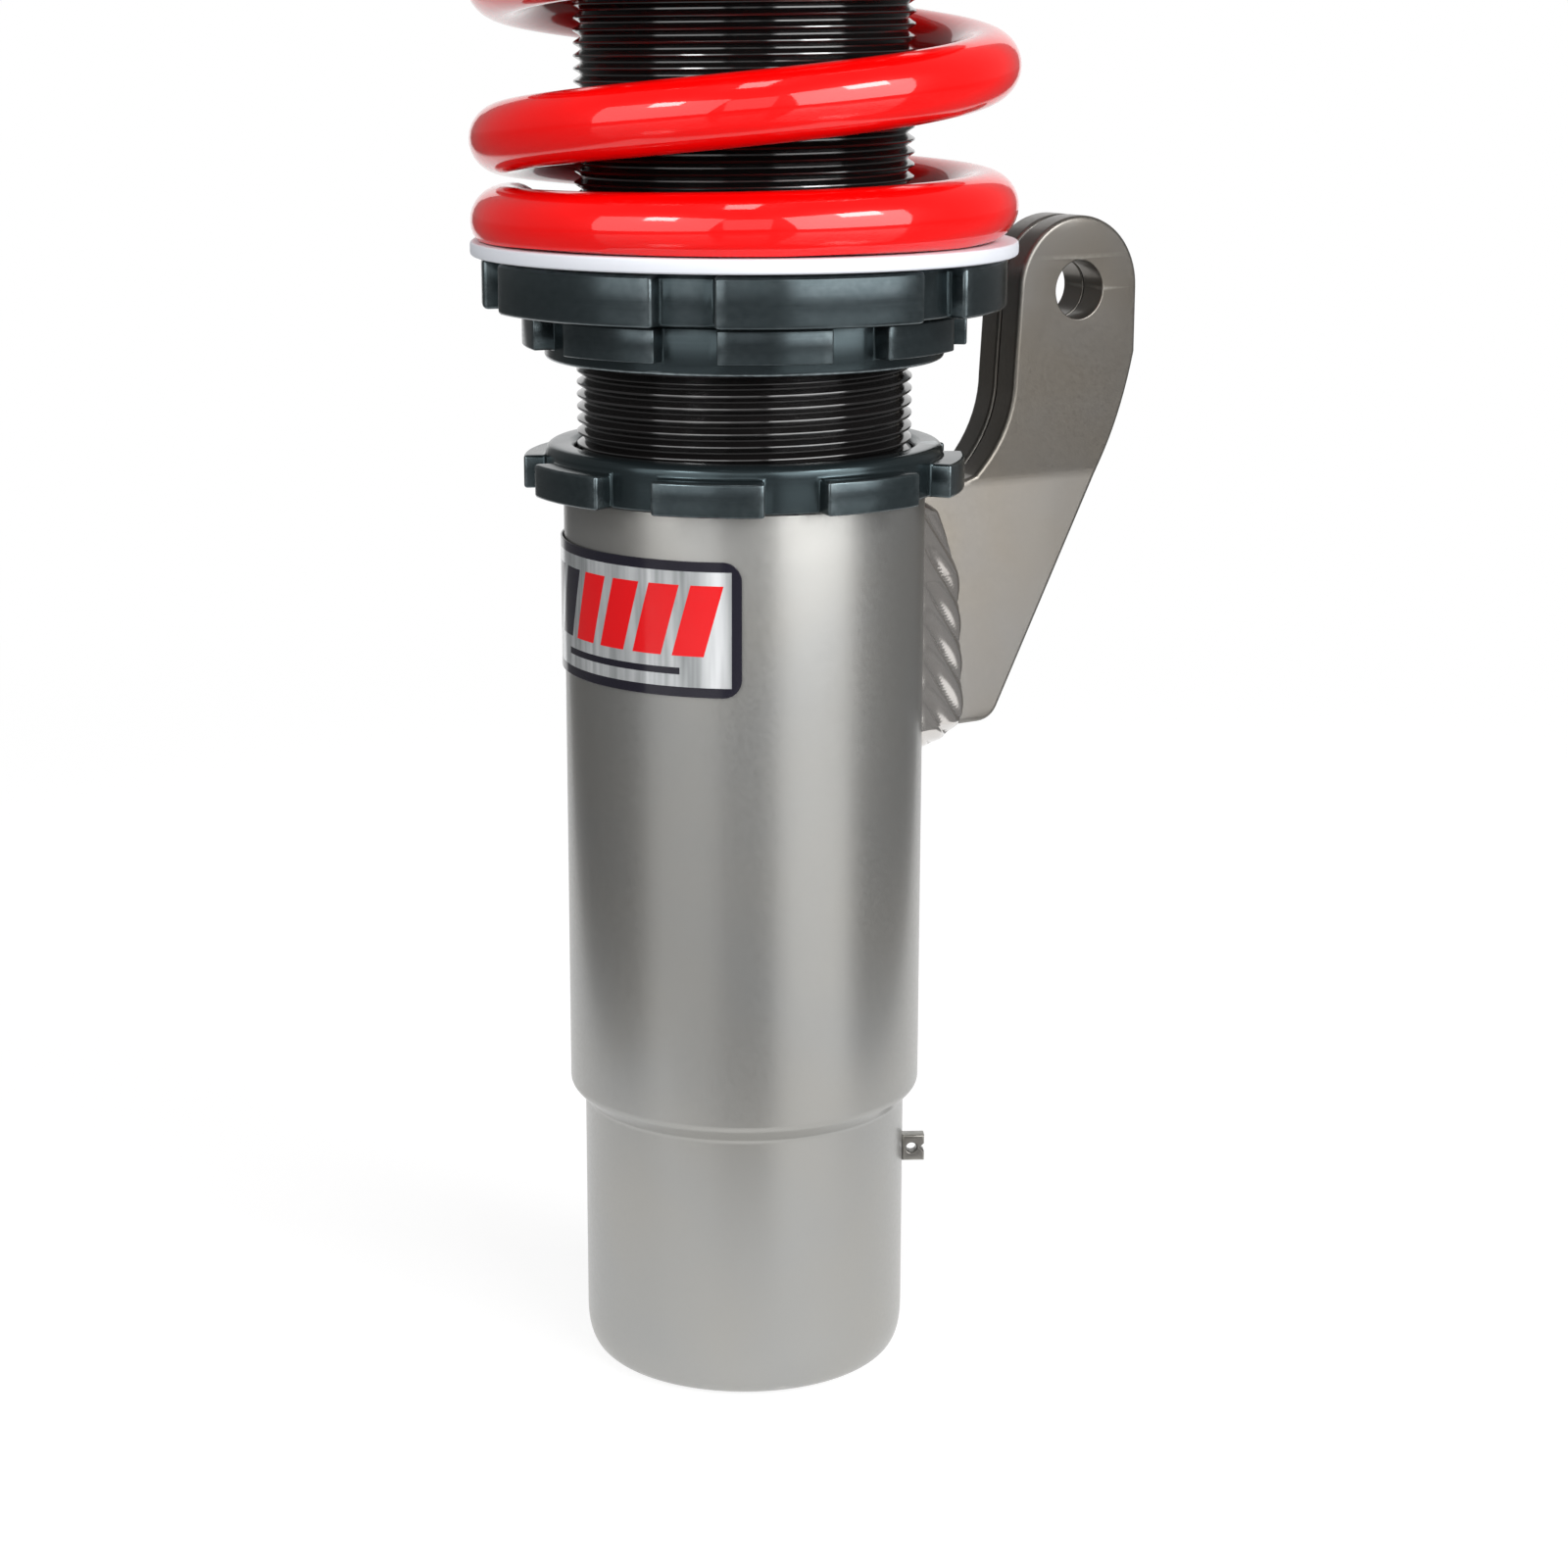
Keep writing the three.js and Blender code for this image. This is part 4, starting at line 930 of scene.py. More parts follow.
def build_weld(side, node):
    """A hand-laid fillet between plate and tube, in slanted drops that overlap."""
    top, bottom = 147.0, WING_FOOT - 2.6
    steps, across = 190, 24
    drop_rise, drop_slant, drop_height = 6.4, 0.9, 2.4
    plate_leg, tube_leg, crown = 9.2, 7.4, 0.7  # reach along plate and tube, and height without drops
    grow_over, start_over, end_over = 26, 2.5, 4.0  # heights over which the weld gains and loses its size
    edge_depth, root_depth = 0.1, 1.6
    rows = []
    for step in range(steps + 1):
        z = top + (bottom - top) * step / steps
        grown = min(1.0, 0.5 + (top - z) / grow_over)
        ending = math.sqrt(min(1.0, max(0.01, (z - bottom) / end_over)))
        size = grown * ending * min(1.0, math.sqrt(max(0.02, (top - z) / start_over)))
        face_y = PLATE_OUTER + FLARE * (CREASE_Z - z)
        corner_x = math.sqrt(SLEEVE_RADIUS**2 - face_y**2)
        corner = math.degrees(math.atan2(face_y, corner_x))
        on_plate = Vector((corner_x + plate_leg * size, face_y - edge_depth, z))
        on_tube = polar(SLEEVE_RADIUS - edge_depth, corner + math.degrees(tube_leg * size / SLEEVE_RADIUS), z)
        along = on_tube - on_plate
        outward = Vector((-along.y, along.x, 0)).normalized()
        if outward.dot(on_plate) < 0:
            outward.negate()
        row = []
        for index in range(across + 1):
            share = index / across
            phase = ((z + drop_slant * along.length * (1 - share)) / drop_rise) % 1.0
            drop = drop_height * size * math.sqrt(1 - share) * (math.sin(math.pi * phase) - 0.5)
            swell = math.sin(math.pi * share) ** 0.6
            row.append(on_plate + along * share + outward * (swell * (crown * size + drop)))
        # the weld's root, buried in the tube and in the plate
        row.append(polar(SLEEVE_RADIUS - root_depth, corner + math.degrees(6.4 * size / SLEEVE_RADIUS), z))
        row.append(Vector((corner_x - 1.2, face_y - root_depth, z)))
        row.append(Vector((corner_x + 8.4 * size, face_y - 1.4, z)))
        rows.append([Vector((point.x, side * point.y, point.z)) for point in row])
    mesh = bmesh.new()
    add_sweep(mesh, rows)
    name = node.replace("bracket_weld", "weld_fillet")
    new_piece(name, mesh, "housing", "bracket_paint", [node], finish("weld_bead"), smooth=0.9)


# ---------------------------------------------------------------- rings, perch and spring


def build_lock_ring(name, node, body, first, lugs_at_top):
    """A ring with lugs at one end. Its other end has bevels at the bore and the rim."""
    bottom, top = heights(node)
    azimuths, in_lug = lug_azimuths(RING_LUGS, RING_LUG_DEGREES, first)
    lug_start = top - RING_LUG_HEIGHT if lugs_at_top else bottom
    levels = sorted({bottom, lug_start, lug_start + RING_LUG_HEIGHT, top})
    bore_bevel, bore_draw = 1.1, 0.8
    rim_bevel = 0.45 if lugs_at_top else 0.9
    if lugs_at_top:
        layers = [levels[0], levels[0] + rim_bevel] + levels[1:]
    else:
        layers = levels[:-1] + [levels[-1] - rim_bevel, levels[-1]]
    plain_end = 0 if lugs_at_top else len(layers) - 1
    radii = [BORE_GAP, RING_RADIUS, RING_LUG_RADIUS]

    def corner(ring, layer):
        radius = radii[ring]
        if layer == plain_end and ring == 1:
            radius -= rim_bevel
        if layer == plain_end and ring == 0:
            radius += bore_bevel * bore_draw
        return radius, layers[layer]

    def filled(turn, ring, layer):
        if ring == 0:
            return True
        middle = (layers[layer] + layers[layer + 1]) / 2
        return in_lug[turn] and lug_start < middle < lug_start + RING_LUG_HEIGHT

    mesh = bmesh.new()
    add_cells(mesh, azimuths, corner, filled, 2, len(layers) - 1)
    piece = new_piece(name, mesh, body, "gunmetal_anodised", [node])
    soften(piece, bpy.context.scene.coilover_sizes.edge_round)


def build_perch():
    """A flange with lugs, and a hub above it that centres the washer and the spring."""
    bottom, hub_top = heights("spring_perch")
    azimuths, in_lug = lug_azimuths(PERCH_LUGS, PERCH_LUG_DEGREES, PERCH_AZIMUTH)
    layers = [bottom, PERCH_TOP, hub_top]
    radii = [BORE_GAP, HUB_RADIUS, PERCH_ROOT, PERCH_RADIUS]

    def corner(ring, layer):
        return radii[ring], layers[layer]

    def filled(turn, ring, layer):
        if layer == 1:
            return ring == 0
        return ring < 2 or in_lug[turn]

    mesh = bmesh.new()
    add_cells(mesh, azimuths, corner, filled, 3, 2)
    piece = new_piece("perch_collar", mesh, "perch", "gunmetal_anodised", ["spring_perch"])
    soften(piece, 1.5 * bpy.context.scene.coilover_sizes.edge_round)


def build_rings():
    build_lock_ring("height_ring", "height_lock_ring", "height_ring", HEIGHT_RING_AZIMUTH, False)
    build_lock_ring("seat_ring", "seat_lock_ring", "seat_ring", SEAT_RING_AZIMUTH, True)
    build_perch()
    inner, outer = HUB_RADIUS + 0.4, high("spring_washer").x
    ring_piece("nylon_washer", inner, outer, "spring_seat", "white_nylon", "spring_washer", 0.6)


def wire_height(turns):
    """Height of the wire's centre above the spring's foot."""
    length = SPRING_TOP - SPRING_BOTTOM
    if turns > SPRING_TURNS / 2:
        return length - wire_height(SPRING_TURNS - turns)
    if turns < SPRING_CLOSED:
        share = turns / SPRING_CLOSED
        return SPRING_TIP_HEIGHT + (SPRING_CLOSED_HEIGHT - SPRING_TIP_HEIGHT) * (share + share * share) * 0.5
    pitch = (length - 2 * SPRING_CLOSED_HEIGHT) / (SPRING_TURNS - 2 * SPRING_CLOSED)
    return SPRING_CLOSED_HEIGHT + pitch * (turns - SPRING_CLOSED)


def build_spring():
    """A coil of round wire with ends ground flat."""
    sizes = bpy.context.scene.coilover_sizes
    steps = int(SPRING_TURNS * sizes.wire_steps)
    cap_steps = 4
    rows = []
    for step in range(-cap_steps, steps + cap_steps + 1):
        inside = min(max(step, 0), steps)
        turns = SPRING_TURNS * inside / steps
        beyond = min(abs(step - inside) / cap_steps, 1.0)
        # the cut ends keep a small round-over
        wire = SPRING_WIRE - SPRING_TIP_ROUND * (1 - math.sqrt(max(0.0, 1 - beyond * beyond)))
        push = SPRING_TIP_ROUND * beyond * (1 if step > steps else -1 if step < 0 else 0)
        azimuth = SPRING_TIP_AZIMUTH + turns * 360 + math.degrees(push / SPRING_MEAN)
        centre_z = SPRING_BOTTOM + wire_height(turns)
        row = []
        for radius, z in circle(SPRING_MEAN, centre_z, wire, sizes.wire_sides):
            row.append(polar(radius, azimuth, min(max(z, SPRING_BOTTOM), SPRING_TOP)))
        rows.append(row)
    mesh = bmesh.new()
    add_sweep(mesh, rows)
    piece = new_piece("coil_spring", mesh, "spring_seat", "spring_red", ["main_spring"])
    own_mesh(piece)


# ---------------------------------------------------------------- damper, rod and what the rod carries


def build_damper_body():
    """A tube with a real thread on the part that can be seen. The thread fades out at both ends."""
    pitch = bpy.context.scene.coilover_sizes.thread_pitch / MM
    sides = 96
    thread_end = BODY_TOP - BODY_CHAMFER
    turns = int((BODY_TOP - THREAD_START) / pitch) + 2
    columns = []
    for side in range(sides + 1):
        column = []
        for turn in range(-1, turns):
            for depth_share, rise in THREAD_FORM:
                z = THREAD_START + pitch * (turn + rise + side / sides)
                fade = min(1.0, max(0.0, min(z - THREAD_START, thread_end - z) / pitch))
                radius = THREAD_ROOT + THREAD_DEPTH * depth_share * fade
                column.append(polar(radius, side * 360 / sides, min(max(z, THREAD_START), thread_end)))
        columns.append(column)
    mesh = bmesh.new()
    add_rows(mesh, columns, wrap_rows=False, wrap_columns=False)
    plain = [(THREAD_ROOT, THREAD_START), (THREAD_ROOT, BODY_BOTTOM + BODY_CHAMFER)]
    plain += [(THREAD_ROOT - BODY_CHAMFER, BODY_BOTTOM), (BODY_BORE, BODY_BOTTOM), (BODY_BORE, BODY_TOP)]
    plain += [(THREAD_ROOT - 0.4, BODY_TOP), (THREAD_ROOT, thread_end)]
    add_turned(mesh, plain, sides, closed=False)
    bmesh.ops.remove_doubles(mesh, verts=mesh.verts, dist=0.002)
    new_piece("threaded_body", mesh, "damper", "black_thread", ["damper_body"])


def build_gland():
    """The cap that closes the body, and the wiper in its recess."""
    bore = ROD_RADIUS + CLEARANCE
    bottom, top = heights("gland_nut")
    flange, neck, neck_top = 27.2, 22.7, BODY_TOP + CLEARANCE
    recess, recess_floor = 16.3, 294.5
    cap = [(bore, bottom), (neck, bottom), (neck, neck_top), (flange, neck_top), (flange, top, 0.8)]
    cap += [(recess, top), (recess, recess_floor), (bore, recess_floor)]
    turned_piece("gland_cap", cap, "damper", "gunmetal_anodised", ["gland_nut"], 0.3, 120)
    outer, seat, lip = recess - CLEARANCE, recess_floor + CLEARANCE, high("wiper_seal").z
    wiper = [(bore, seat), (outer, seat), (outer, top), (bore + 2.6, top + 0.2)]
    wiper += [(bore + 1.0, lip), (bore, lip)]
    turned_piece("wiper_lip", wiper, "damper", "black_rubber", ["wiper_seal"], 0.25, 96)


def build_rod():
    """The hollow rod, the boot and the foam bump stop."""
    tip, end = heights("piston_rod")
    piston_end, shoulder, seat = 5.0, 264.3, 393.4
    rod = [(ROD_BORE, tip), (piston_end, tip), (piston_end, shoulder), (ROD_RADIUS, shoulder, 0.8)]
    rod += [(ROD_RADIUS, seat, 0.5), (STUD_RADIUS, seat), (STUD_RADIUS, end, 0.8), (ROD_BORE, end, 0.4)]
    turned_piece("chromed_rod", rod, "rod", "hard_chrome", ["piston_rod"], 0.2, 96)
    build_boot()
    bottom, top = heights("bump_stop")
    ridge, valley, folds, fold_steps = 20.8, 18.4, 3, 12
    bore = ROD_RADIUS + CLEARANCE
    steps = fold_steps * folds
    stop = [(bore, bottom)]
    for step in range(steps + 1):
        share = step / steps
        stop.append((valley + (ridge - valley) * wave(folds * share), bottom + (top - bottom) * share))
    stop.append((bore, top))
    turned_piece("foam_stop", stop, "rod", "yellow_foam", ["bump_stop"], 0.0, 72)


def build_boot():
    """A bellows with round ridges, a plain cuff below and a collar inside the upper seat's skirt."""
    bottom, top = heights("dust_boot")
    ridge, valley, wall = 31.5, 29.4, 1.3
    cuff_top, pleat_top = bottom + 6.0, 384.5
    collar, rim = 30.0, 22.0
    pleats = bpy.context.scene.coilover_sizes.boot_pleats
    steps = pleats * 16
    outside = [(valley, bottom), (valley, cuff_top)]
    for step in range(1, steps + 1):
        share = step / steps
        radius = valley + (ridge - valley) * wave(pleats * share) ** 0.7
        outside.append((radius, cuff_top + (pleat_top - cuff_top) * share))
    roof = [(collar, top), (rim, top), (rim, top - wall), (collar - wall, top - wall)]
    inside = [(radius - wall, z) for radius, z in reversed(outside)]
    turned_piece("bellows_boot", outside + roof + inside, "rod", "black_rubber", ["dust_boot"], 0.0, 112)


def build_upper_seat():
    """The spring's upper seat with its skirt, the isolator under it and the spacer above it."""
    skirt_bottom, top = heights("upper_spring_seat")
    outer = high("upper_spring_seat").x
    skirt, skirt_bore, groove_floor = 32.6, 32.6 - 1.9, top - 1.2
    hat = [(NUT_BORE, SEAT_BOTTOM), (skirt_bore, SEAT_BOTTOM), (skirt_bore, skirt_bottom)]
    hat += [(skirt, skirt_bottom, 0.7), (skirt, SEAT_BOTTOM, 0.3), (outer, SEAT_BOTTOM, 0.5)]
    hat += [(outer, top, 1.6), (24.0, top, 0.6), (23.2, groove_floor, 0.6), (14.0, groove_floor, 0.6)]
    hat += [(13.2, top, 0.4), (NUT_BORE, top)]
    turned_piece("top_hat", hat, "rod", "gunmetal_anodised", ["upper_spring_seat"])
    ring_piece("top_isolator", 33.0, outer, "rod", "white_nylon", "upper_spring_isolator", 0.6)
    bottom, top = heights("ball_spacer")
    wide, narrow = 12.0, 9.6
    spacer = [(NUT_BORE, bottom), (wide, bottom), (wide, bottom + 2.0), (narrow, bottom + 4.0, 1.5)]
    spacer += [(narrow, top), (NUT_BORE, top)]
    turned_piece("step_spacer", spacer, "rod", "zinc_steel", ["ball_spacer"], 0.35, 96)


# ---------------------------------------------------------------- top mount


def sphere_points(radius, half_height):
    """A half section's arc on the spherical bearing, from the bottom up."""
    limit = math.degrees(math.asin(half_height / radius))
    return arc(0.0, BALL_Z, radius, -limit, limit, 14)


def build_bearing():
    """The ball, its liner and race, and the open ring that holds them."""
    ball = [(NUT_BORE, BALL_Z - BALL_HALF), *sphere_points(BALL_RADIUS, BALL_HALF)]
    ball.append((NUT_BORE, BALL_Z + BALL_HALF))
    turned_piece("swivel_ball", ball, "rod", "hard_chrome", ["pillow_ball"], 0.0, 96)
    liner = sphere_points(15.3, 6.5) + sphere_points(14.3, 6.5)[::-1]
    turned_piece("slip_liner", liner, "liner", "ptfe_bronze", ["race_liner"], 0.0, 96)
    race = [(19.5, BALL_Z - 6.8), (20.0, BALL_Z - 6.3), (20.0, BALL_Z + 6.3), (19.5, BALL_Z + 6.8)]
    race += sphere_points(15.6, 6.8)[::-1]
    turned_piece("outer_race", race, "slider", "zinc_steel", ["bearing_race"], 0.0, 96)
    bottom, top = heights("retaining_ring")
    inner, outer, opening, steps = 16.9, 21.2, 30.0, 60
    start, end = 90 + opening / 2, 450 - opening / 2
    outline = arc(0.0, 0.0, outer, start, end, steps) + arc(0.0, 0.0, inner, end, start, steps)
    mesh = bmesh.new()
    add_plate(mesh, [outline], bottom, top, 0.25)
    new_piece("snap_ring", mesh, "slider", "zinc_steel", ["retaining_ring"])


def build_slider():
    """The block that carries the bearing, with a boss that goes up through the camber plate."""
    bottom, boss_top = heights("slider_plate")
    half_x, half_y, corner = 28.0, 41.0, 8.0
    outlines = [rounded_rectangle(-half_x, -half_y, half_x, half_y, corner), circle(0.0, 0.0, 20.6, 96)]
    outlines += [circle(x, y, 4.3, 32) for x, y in SCREW_PLACES]
    mesh = bmesh.new()
    add_plate(mesh, outlines, bottom, UNDER_CAMBER, 0.7)
    lip, race_bore, ring_bore, wall = 17.6, 20.3, 21.6, 24.0
    lip_top, race_top = 408.9, 423.0
    boss = [(lip, bottom + 0.4), (21.0, bottom + 0.4), (wall, bottom + 3.0), (wall, boss_top, 0.8)]
    boss += [(ring_bore, boss_top), (ring_bore, race_top), (race_bore, race_top)]
    boss += [(race_bore, lip_top), (lip, lip_top)]
    add_turned(mesh, rounded(boss, 0.25), 112)
    new_piece("slider_block", mesh, "slider", "zinc_steel", ["slider_plate"])


def build_camber_plate():
    """The round plate with its slots for the boss and the screws, and its holes for the studs."""
    bottom, top = heights("camber_plate")
    radius, travel, hole = 64.0, 8.1, 4.4
    outlines = [circle(0.0, 0.0, radius, 160), slot_outline(0.0, 0.0, 24.5, travel, 40)]
    outlines += [slot_outline(x, y, hole, travel, 16) for x, y in SCREW_PLACES]
    outlines += [circle(x, y, hole, 32) for x, y in STUD_PLACES]
    mesh = bmesh.new()
    add_plate(mesh, outlines, bottom, top, 0.9)
    new_piece("camber_disc", mesh, "camber", "gunmetal_anodised", ["camber_plate"])


def build_screw(index, x, y):
    """A cap screw with a hexagon socket."""
    node = f"camber_screw_{index}"
    bottom, top = heights(node)
    seat, head, shank, floor = top - 8.0, 6.5, 4.0, top - 4.0
    lower = [(0, bottom), (shank, bottom, 0.8), (shank, seat), (head, seat, 0.4), (head, floor), (0, floor)]
    mesh = bmesh.new()
    add_turned(mesh, rounded(lower, 0.0), 64, None, x, y)
    add_plate(mesh, [circle(x, y, head, 64), hexagon(6.0, x, y)], floor - 0.45, top, 0.4)
    new_piece(f"socket_screw_{index}", mesh, "slider", "zinc_steel", [node])


def build_stud(index, x, y):
    """A stud whose head is under the plate, and whose thread begins above it."""
    node = f"mount_stud_{index}"
    bottom, top = heights(node)
    head, shank, crest, pitch = 7.0, 3.45, 4.0, 1.25
    section = [(0, bottom), (head, bottom, 0.6), (head, UNDER_CAMBER, 0.4), (shank, UNDER_CAMBER)]
    z = UNDER_CAMBER + 9.0
    while z < top - 2.0:
        section += [(shank, z), (crest, z + 0.5), (crest, z + 0.7), (shank, z + 1.2)]
        z += pitch
    section += [(shank, top - 0.8), (shank - 0.8, top), (0, top)]
    mesh = bmesh.new()
    add_turned(mesh, rounded(section, 0.0), 40, None, x, y)
    new_piece(f"tower_stud_{index}", mesh, "camber", "zinc_steel", [node])


def build_stud_nut(index, x, y):
    """A hexagon nut with a flange under it."""
    node = f"stud_nut_{index}"
    bottom, top = heights(node)
    bore, rim, flange_top = 4.3, 8.5, bottom + 1.9
    flange = [(bore, bottom), (rim, bottom, 0.3), (rim, bottom + 0.8, 0.3)]
    flange += [(7.0, flange_top), (bore, flange_top)]
    mesh = bmesh.new()
    add_turned(mesh, rounded(flange, 0.0), 64, None, x, y)
    add_hex(mesh, 13.0, bore, bottom + 1.4, top, x, y)
    new_piece(f"flange_nut_{index}", mesh, "camber", "zinc_steel", [node])


def build_fasteners():
    for index, (x, y) in enumerate(SCREW_PLACES, 1):
        build_screw(index, x, y)
    for index, (x, y) in enumerate(STUD_PLACES, 1):
        build_stud(index, x, y)
        build_stud_nut(index, x, y)


def build_top_nut():
    """The nut and washer on the rod's end, and the fluted knob above them."""
    bottom, top = heights("top_nut")
    mesh = bmesh.new()
    add_hex(mesh, 22.0, NUT_BORE, bottom, top)
    new_piece("rod_nut", mesh, "rod", "zinc_steel", ["top_nut"])
    ring_piece("rod_washer", NUT_BORE, 12.0, "rod", "zinc_steel", "top_washer", 0.4, 96)
    bottom, top = heights("adjuster_knob")
    spigot, spigot_tip, rim, flutes, flute_depth = 3.1, 451.0, 8.0, 24, 0.45

    def fluted(radius, azimuth):
        return radius if radius < 7.4 else radius - flute_depth * wave(azimuth * flutes / 360)

    knob = [(0.0, spigot_tip), (spigot, spigot_tip), (spigot, bottom), (7.0, bottom), (rim, bottom + 1.0)]
    knob += [(rim, top - 1.0), (7.0, top), (2.4, top), (2.2, top - 0.5), (0.0, top - 0.5)]
    turned_piece("damping_knob", knob, "adjuster", "red_anodised", ["adjuster_knob"], 0.3, 192, fluted)


SEALED_NODES = [
    *("body_end_cap", "gas_valve", "floating_piston", "floating_piston_seal", "rod_guide", "guide_o_ring"),
    *("oil_seal", "main_piston", "piston_band", "compression_shims", "rebound_shims", "piston_nut"),
    "adjuster_rod",
]


def finish_sealed_nodes():
    """The pieces inside the damper keep their CAD shape and get real finishes."""
    slots = {entry["node"]: entry["material_slot"] for entry in frame["record"]["subparts"]}
    for node in SEALED_NODES:
        piece = frame["nodes"][node]
        piece.data.materials.clear()
        piece.data.materials.append(finish(slots[node]))


# ---------------------------------------------------------------- stage


def softbox(name, azimuth, elevation, distance, width_degrees, height_degrees, radiance):
    """An area lamp that faces the strut. Angles are seen from the strut, azimuth from the camera's side."""
    flat = distance * math.cos(math.radians(elevation))
    place = polar(flat, FACING + azimuth, AIM_Z + distance * math.sin(math.radians(elevation))) * MM
    lamp = bpy.data.lights.new(name, "AREA")
    lamp.shape = "RECTANGLE"
    lamp.size = 2 * flat * math.tan(math.radians(width_degrees / 2)) * MM
    lamp.size_y = 2 * distance * math.tan(math.radians(height_degrees / 2)) * MM
    lamp.energy = radiance * math.pi * lamp.size * lamp.size_y
    holder = bpy.data.objects.new(name, lamp)
    holder.location = place
    holder.rotation_euler = (Vector((0, 0, AIM_Z * MM)) - place).to_track_quat("-Z", "Y").to_euler()
    bpy.context.scene.collection.objects.link(holder)


def stage_sheet(name, rows, paleness=None):
    """A sheet of the studio from rows of points in metres. paleness is each point's share of white paper."""
    mesh = bmesh.new()
    add_rows(mesh, rows, wrap_rows=False, wrap_columns=False)
    data = bpy.data.meshes.new(name)
    mesh.to_mesh(data)
    mesh.free()
    data.shade_smooth()
    if paleness:
        data.attributes.new("paleness", "FLOAT", "POINT").data.foreach_set("value", paleness)
    sheet = bpy.data.objects.new(name, data)
    bpy.context.scene.collection.objects.link(sheet)
    cover, tree, table = new_material(name)
    feed_named(tree, table, Base_Color=(0.2, 0.2, 0.2, 1.0), Roughness=0.14, Specular_IOR_Level=1.0)
    data.materials.append(cover)
    return tree


def paper_profile():
    """Depth and height of the paper from its front edge to the top of its sweep, in metres."""
    front, bend, bend_steps, wall = 0.12, 0.8, 12, 3.0
    profile = [(0.02 * step - front, 0.0) for step in range(16)]
    profile += [(profile[-1][0] + 0.1 * step, 0.0) for step in range(1, 22)]
    flat_end = profile[-1][0]
    for step in range(1, bend_steps + 1):
        angle = math.radians(90 * step / bend_steps)
        profile.append((flat_end + bend * math.sin(angle), bend * (1 - math.cos(angle))))
    profile.append((flat_end + bend, wall))
    return profile


def build_paper():
    """White paper that lies under the strut, fades into the table at its sides and is swept up behind."""
    profile = paper_profile()
    front, back = -profile[0][0], profile[-1][0]
    near_half_width, spread, columns = 0.145, 0.33, 20
    side_fade, front_fade = 7, 0.02
    backwards, aside = polar(1.0, FACING + 180, 0), polar(1.0, FACING + 90, 0)
    rows, paleness = [], []
    for depth, height in profile:
        half_width = near_half_width + spread * (depth + front)
        row = []
        for column in range(-columns, columns + 1):
            point = backwards * depth + aside * half_width * column / columns
            row.append(Vector((point.x, point.y, height + PAPER_Z)))
            sides = min(1.0, side_fade * (1 - abs(column) / columns)) if depth < back else 1.0
            paleness.append(sides * min(1.0, (depth + front) / front_fade))
        rows.append(row)
    dress_paper(stage_sheet("studio_paper", rows, paleness))


def dress_paper(tree):
    """Plain paper for the light that it sends on, and white for what looks at it or mirrors it."""
    table = tree.nodes["Principled BSDF"].outputs[0]
    plain = add_node(tree, "ShaderNodeBsdfDiffuse", Color=(0.8, 0.8, 0.8, 1.0))[0]
    matt = add_node(tree, "ShaderNodeBsdfDiffuse", Color=(0.3, 0.3, 0.3, 1.0))[0]
    glow = add_node(tree, "ShaderNodeEmission", Color=WHITE, Strength=0.8)[0]
    near = add_node(tree, "ShaderNodeAddShader", {}, matt, glow)[0]
    white = add_node(tree, "ShaderNodeEmission", Color=WHITE, Strength=1.0)[0]
    place = add_node(tree, "ShaderNodeNewGeometry")["Position"]
    away = add_node(tree, "ShaderNodeVectorMath", {"operation": "LENGTH"}, place)["Value"]
    smooth = {"interpolation_type": "SMOOTHSTEP"}
    share = add_node(tree, "ShaderNodeMapRange", smooth, Value=away, From_Min=0.2, From_Max=0.7)["Result"]
    seen = mixed_shader(tree, share, near, white)
    path = add_node(tree, "ShaderNodeLightPath")
    rays = ("Is Camera Ray", "Is Glossy Ray", "Is Transmission Ray")
    shown = joined(tree, "MAXIMUM", [path[kind] for kind in rays])
    paper = mixed_shader(tree, shown, plain, seen)
    pale = add_node(tree, "ShaderNodeAttribute", {"attribute_name": "paleness"})["Fac"]
    feed_named(tree, tree.nodes["Material Output"], Surface=mixed_shader(tree, pale, table, paper))


def build_stage():
    scene = bpy.context.scene
    settings = scene.coilover_stage
    scene.view_settings.view_transform = "Standard"

    camera = bpy.data.cameras.new("photo_camera")
    camera.lens = CAMERA_LENS
    camera.sensor_width = 36.0
    camera.shift_x = CAMERA_SHIFT
    camera.clip_end = 200.0
    holder = bpy.data.objects.new("photo_camera", camera)
    holder.location = polar(CAMERA_DISTANCE, FACING, CAMERA_HEIGHT) * MM
    holder.rotation_euler = (math.radians(90 - CAMERA_PITCH), 0.0, math.radians(CAMERA_AZIMUTH))
    scene.collection.objects.link(holder)
    scene.camera = holder

    softbox("softbox_left", -39, 18, 1500, 54, 40, 0.9 * settings.key)
    softbox("softbox_left_core", -38, 33, 1450, 15, 10, settings.core)
    softbox("softbox_front", 1, 16, 1500, 20, 30, 0.45 * settings.key)
    softbox("softbox_right", 46, 18, 1500, 54, 40, 1.9 * settings.key)
    softbox("softbox_right_core", 52, 33, 1450, 21, 11, settings.core)
    softbox("softbox_top", -6, 76, 1500, 36, 22, settings.top)

    build_paper()
    ends = (-GROUND_HALF, GROUND_HALF)
    stage_sheet("studio_table", [[Vector((x, y, GROUND_Z)) for x in ends] for y in ends])

    world = bpy.data.worlds.new("studio_world")
    scene.world = world
    world.use_nodes = True
    room = world.node_tree.nodes["Background"]
    feed_named(world.node_tree, room, Color=WHITE, Strength=settings.fill)


# ---------------------------------------------------------------- operators


def operator(name, label, description, *steps):
    """An operator class that runs build steps in order."""

    def execute(self, context):
        for step in steps:
            step()
        return {"FINISHED"}

    return type(
        "COILOVER_OT_" + name,
        (bpy.types.Operator,),
        {
            "bl_idname": "coilover." + name,
            "bl_label": label,
            "bl_options": {"REGISTER", "UNDO"},
            "__doc__": description,
            "execute": execute,
        },
    )


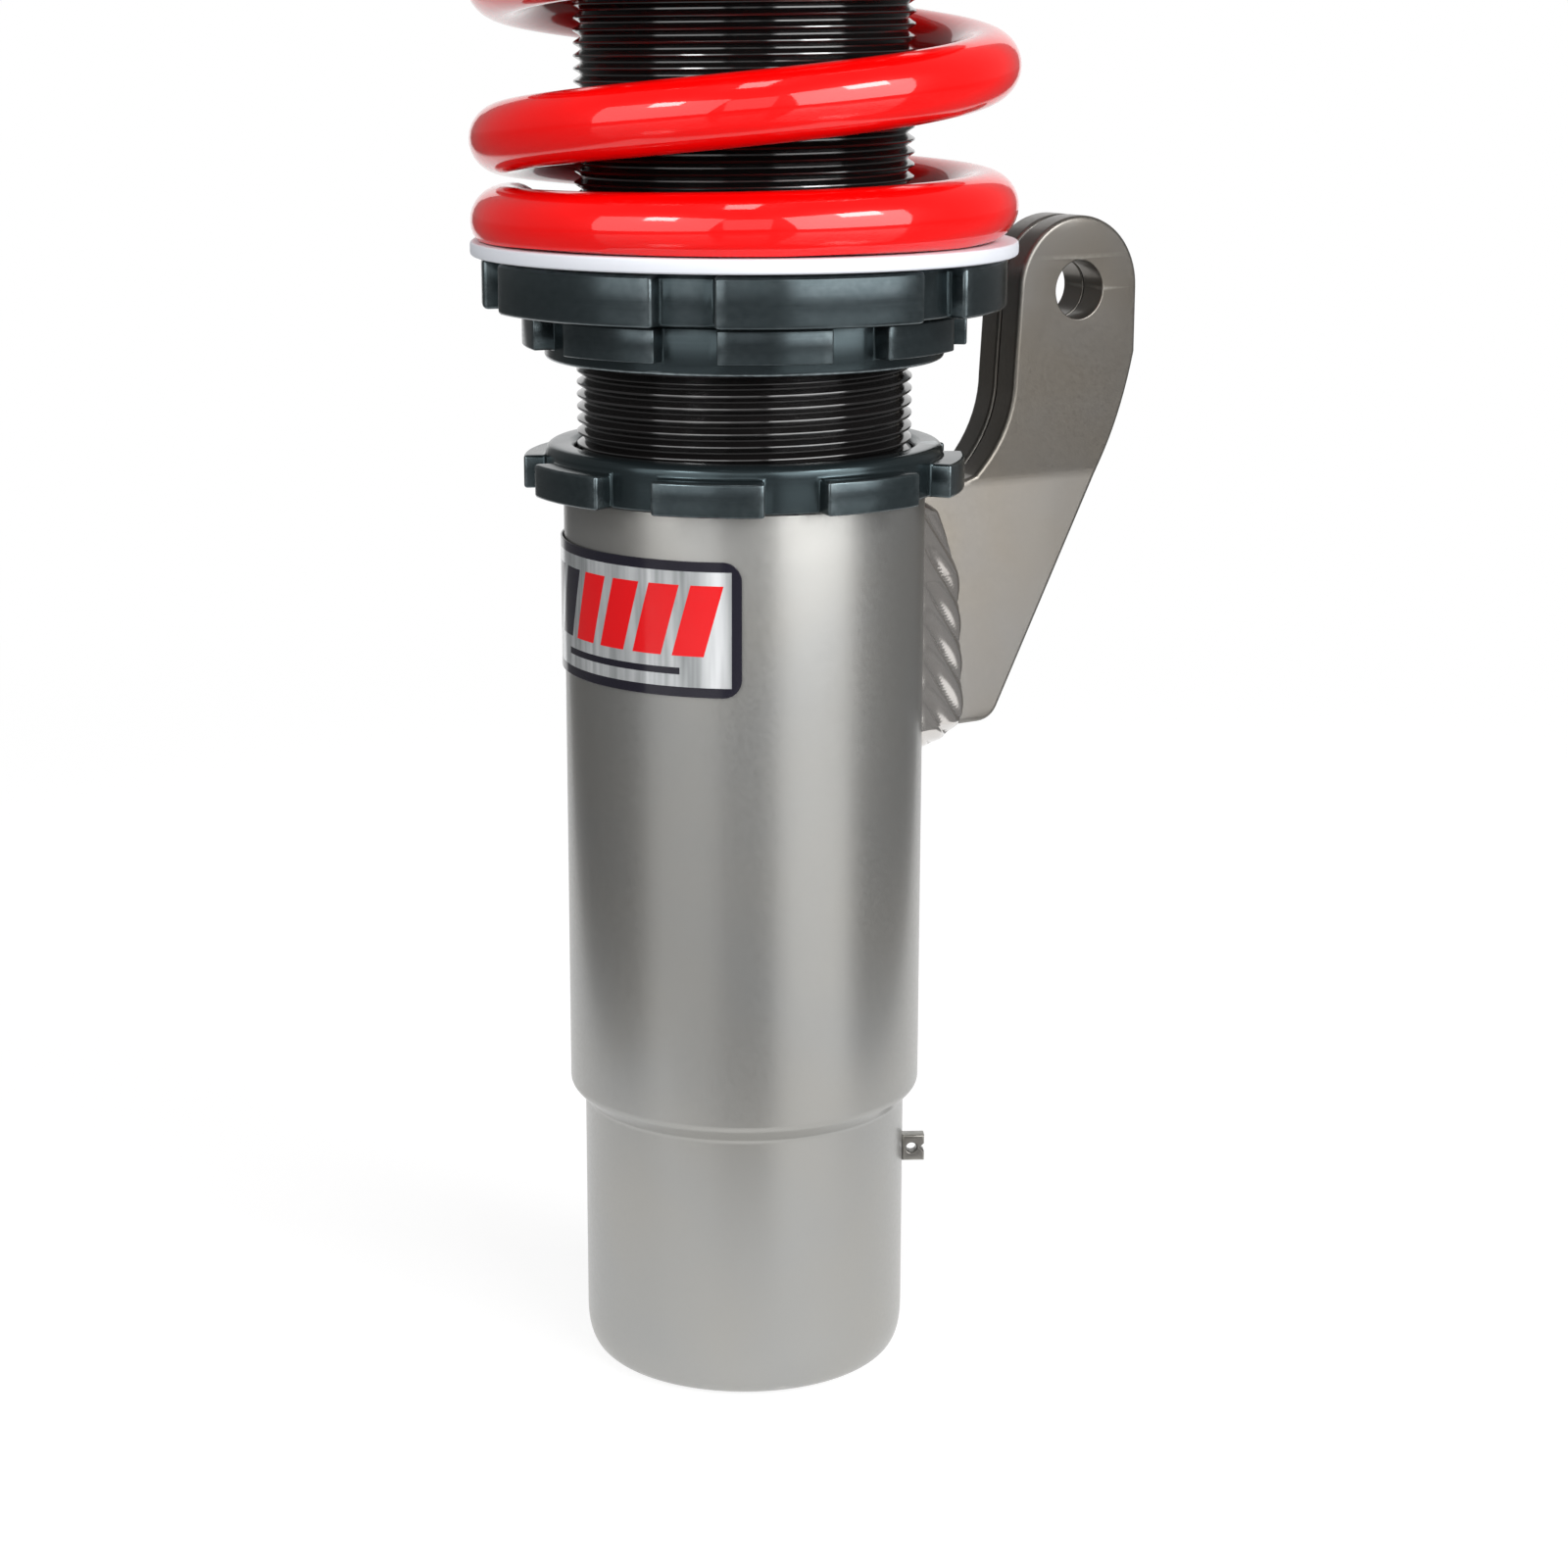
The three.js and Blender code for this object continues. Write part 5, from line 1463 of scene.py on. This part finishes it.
PIECE_OPERATORS = [
    operator("housing", "Housing", "Build the lower housing, its plug and its stop tab", build_housing),
    operator("label", "Label", "Build the foil label on the housing", build_label),
    operator("bracket", "Link Bracket", "Build the two link plates and their welds", build_bracket),
    operator("rings", "Rings and Perch", "Build the lock rings, the perch and its washer", build_rings),
    operator("spring", "Spring", "Build the coil spring", build_spring),
    operator("damper_body", "Damper Body", "Build the body and its gland", build_damper_body, build_gland),
    operator("rod", "Rod and Boot", "Build the rod, the bump stop and the dust boot", build_rod),
    operator("upper_seat", "Upper Seat", "Build the upper seat, isolator and spacer", build_upper_seat),
    operator("bearing", "Bearing", "Build the spherical bearing and its snap ring", build_bearing),
    operator("top_mount", "Top Mount", "Build slider and camber plate", build_slider, build_camber_plate),
    operator("fasteners", "Fasteners", "Build the screws, studs and nuts", build_fasteners, build_top_nut),
    operator("sealed_parts", "Sealed Parts", "Finish the pieces inside the damper", finish_sealed_nodes),
]
STAGE_OPERATOR = operator("stage", "Studio", "Set up the camera, lamps, floor and background", build_stage)


class COILOVER_PT_build(bpy.types.Panel):
    """Lists the builders of the strut's pieces and their settings."""

    bl_label = "Coilover"
    bl_space_type = "VIEW_3D"
    bl_region_type = "UI"
    bl_category = "Coilover"

    def draw(self, context):
        for group in SETTINGS:
            settings = getattr(context.scene, group)
            box = self.layout.box()
            for name in settings.__annotations__:
                box.prop(settings, name)
        column = self.layout.column(align=True)
        for entry in [STAGE_OPERATOR, *PIECE_OPERATORS]:
            column.operator(entry.bl_idname)


SETTINGS = {
    "coilover_sizes": CoiloverSizes,
    "coilover_colours": CoiloverColours,
    "coilover_stage": CoiloverStage,
}
CLASSES = [*SETTINGS.values(), STAGE_OPERATOR, *PIECE_OPERATORS, COILOVER_PT_build]


def register():
    for entry in CLASSES:
        bpy.utils.register_class(entry)
    for name, group in SETTINGS.items():
        setattr(bpy.types.Scene, name, PointerProperty(type=group))


def unregister():
    for name in SETTINGS:
        delattr(bpy.types.Scene, name)
    for entry in reversed(CLASSES):
        bpy.utils.unregister_class(entry)


def main():
    register()
    bpy.ops.coilover.stage()
    for entry in PIECE_OPERATORS:
        getattr(bpy.ops.coilover, entry.bl_idname.split(".")[1])()


if __name__ == "__main__":
    main()
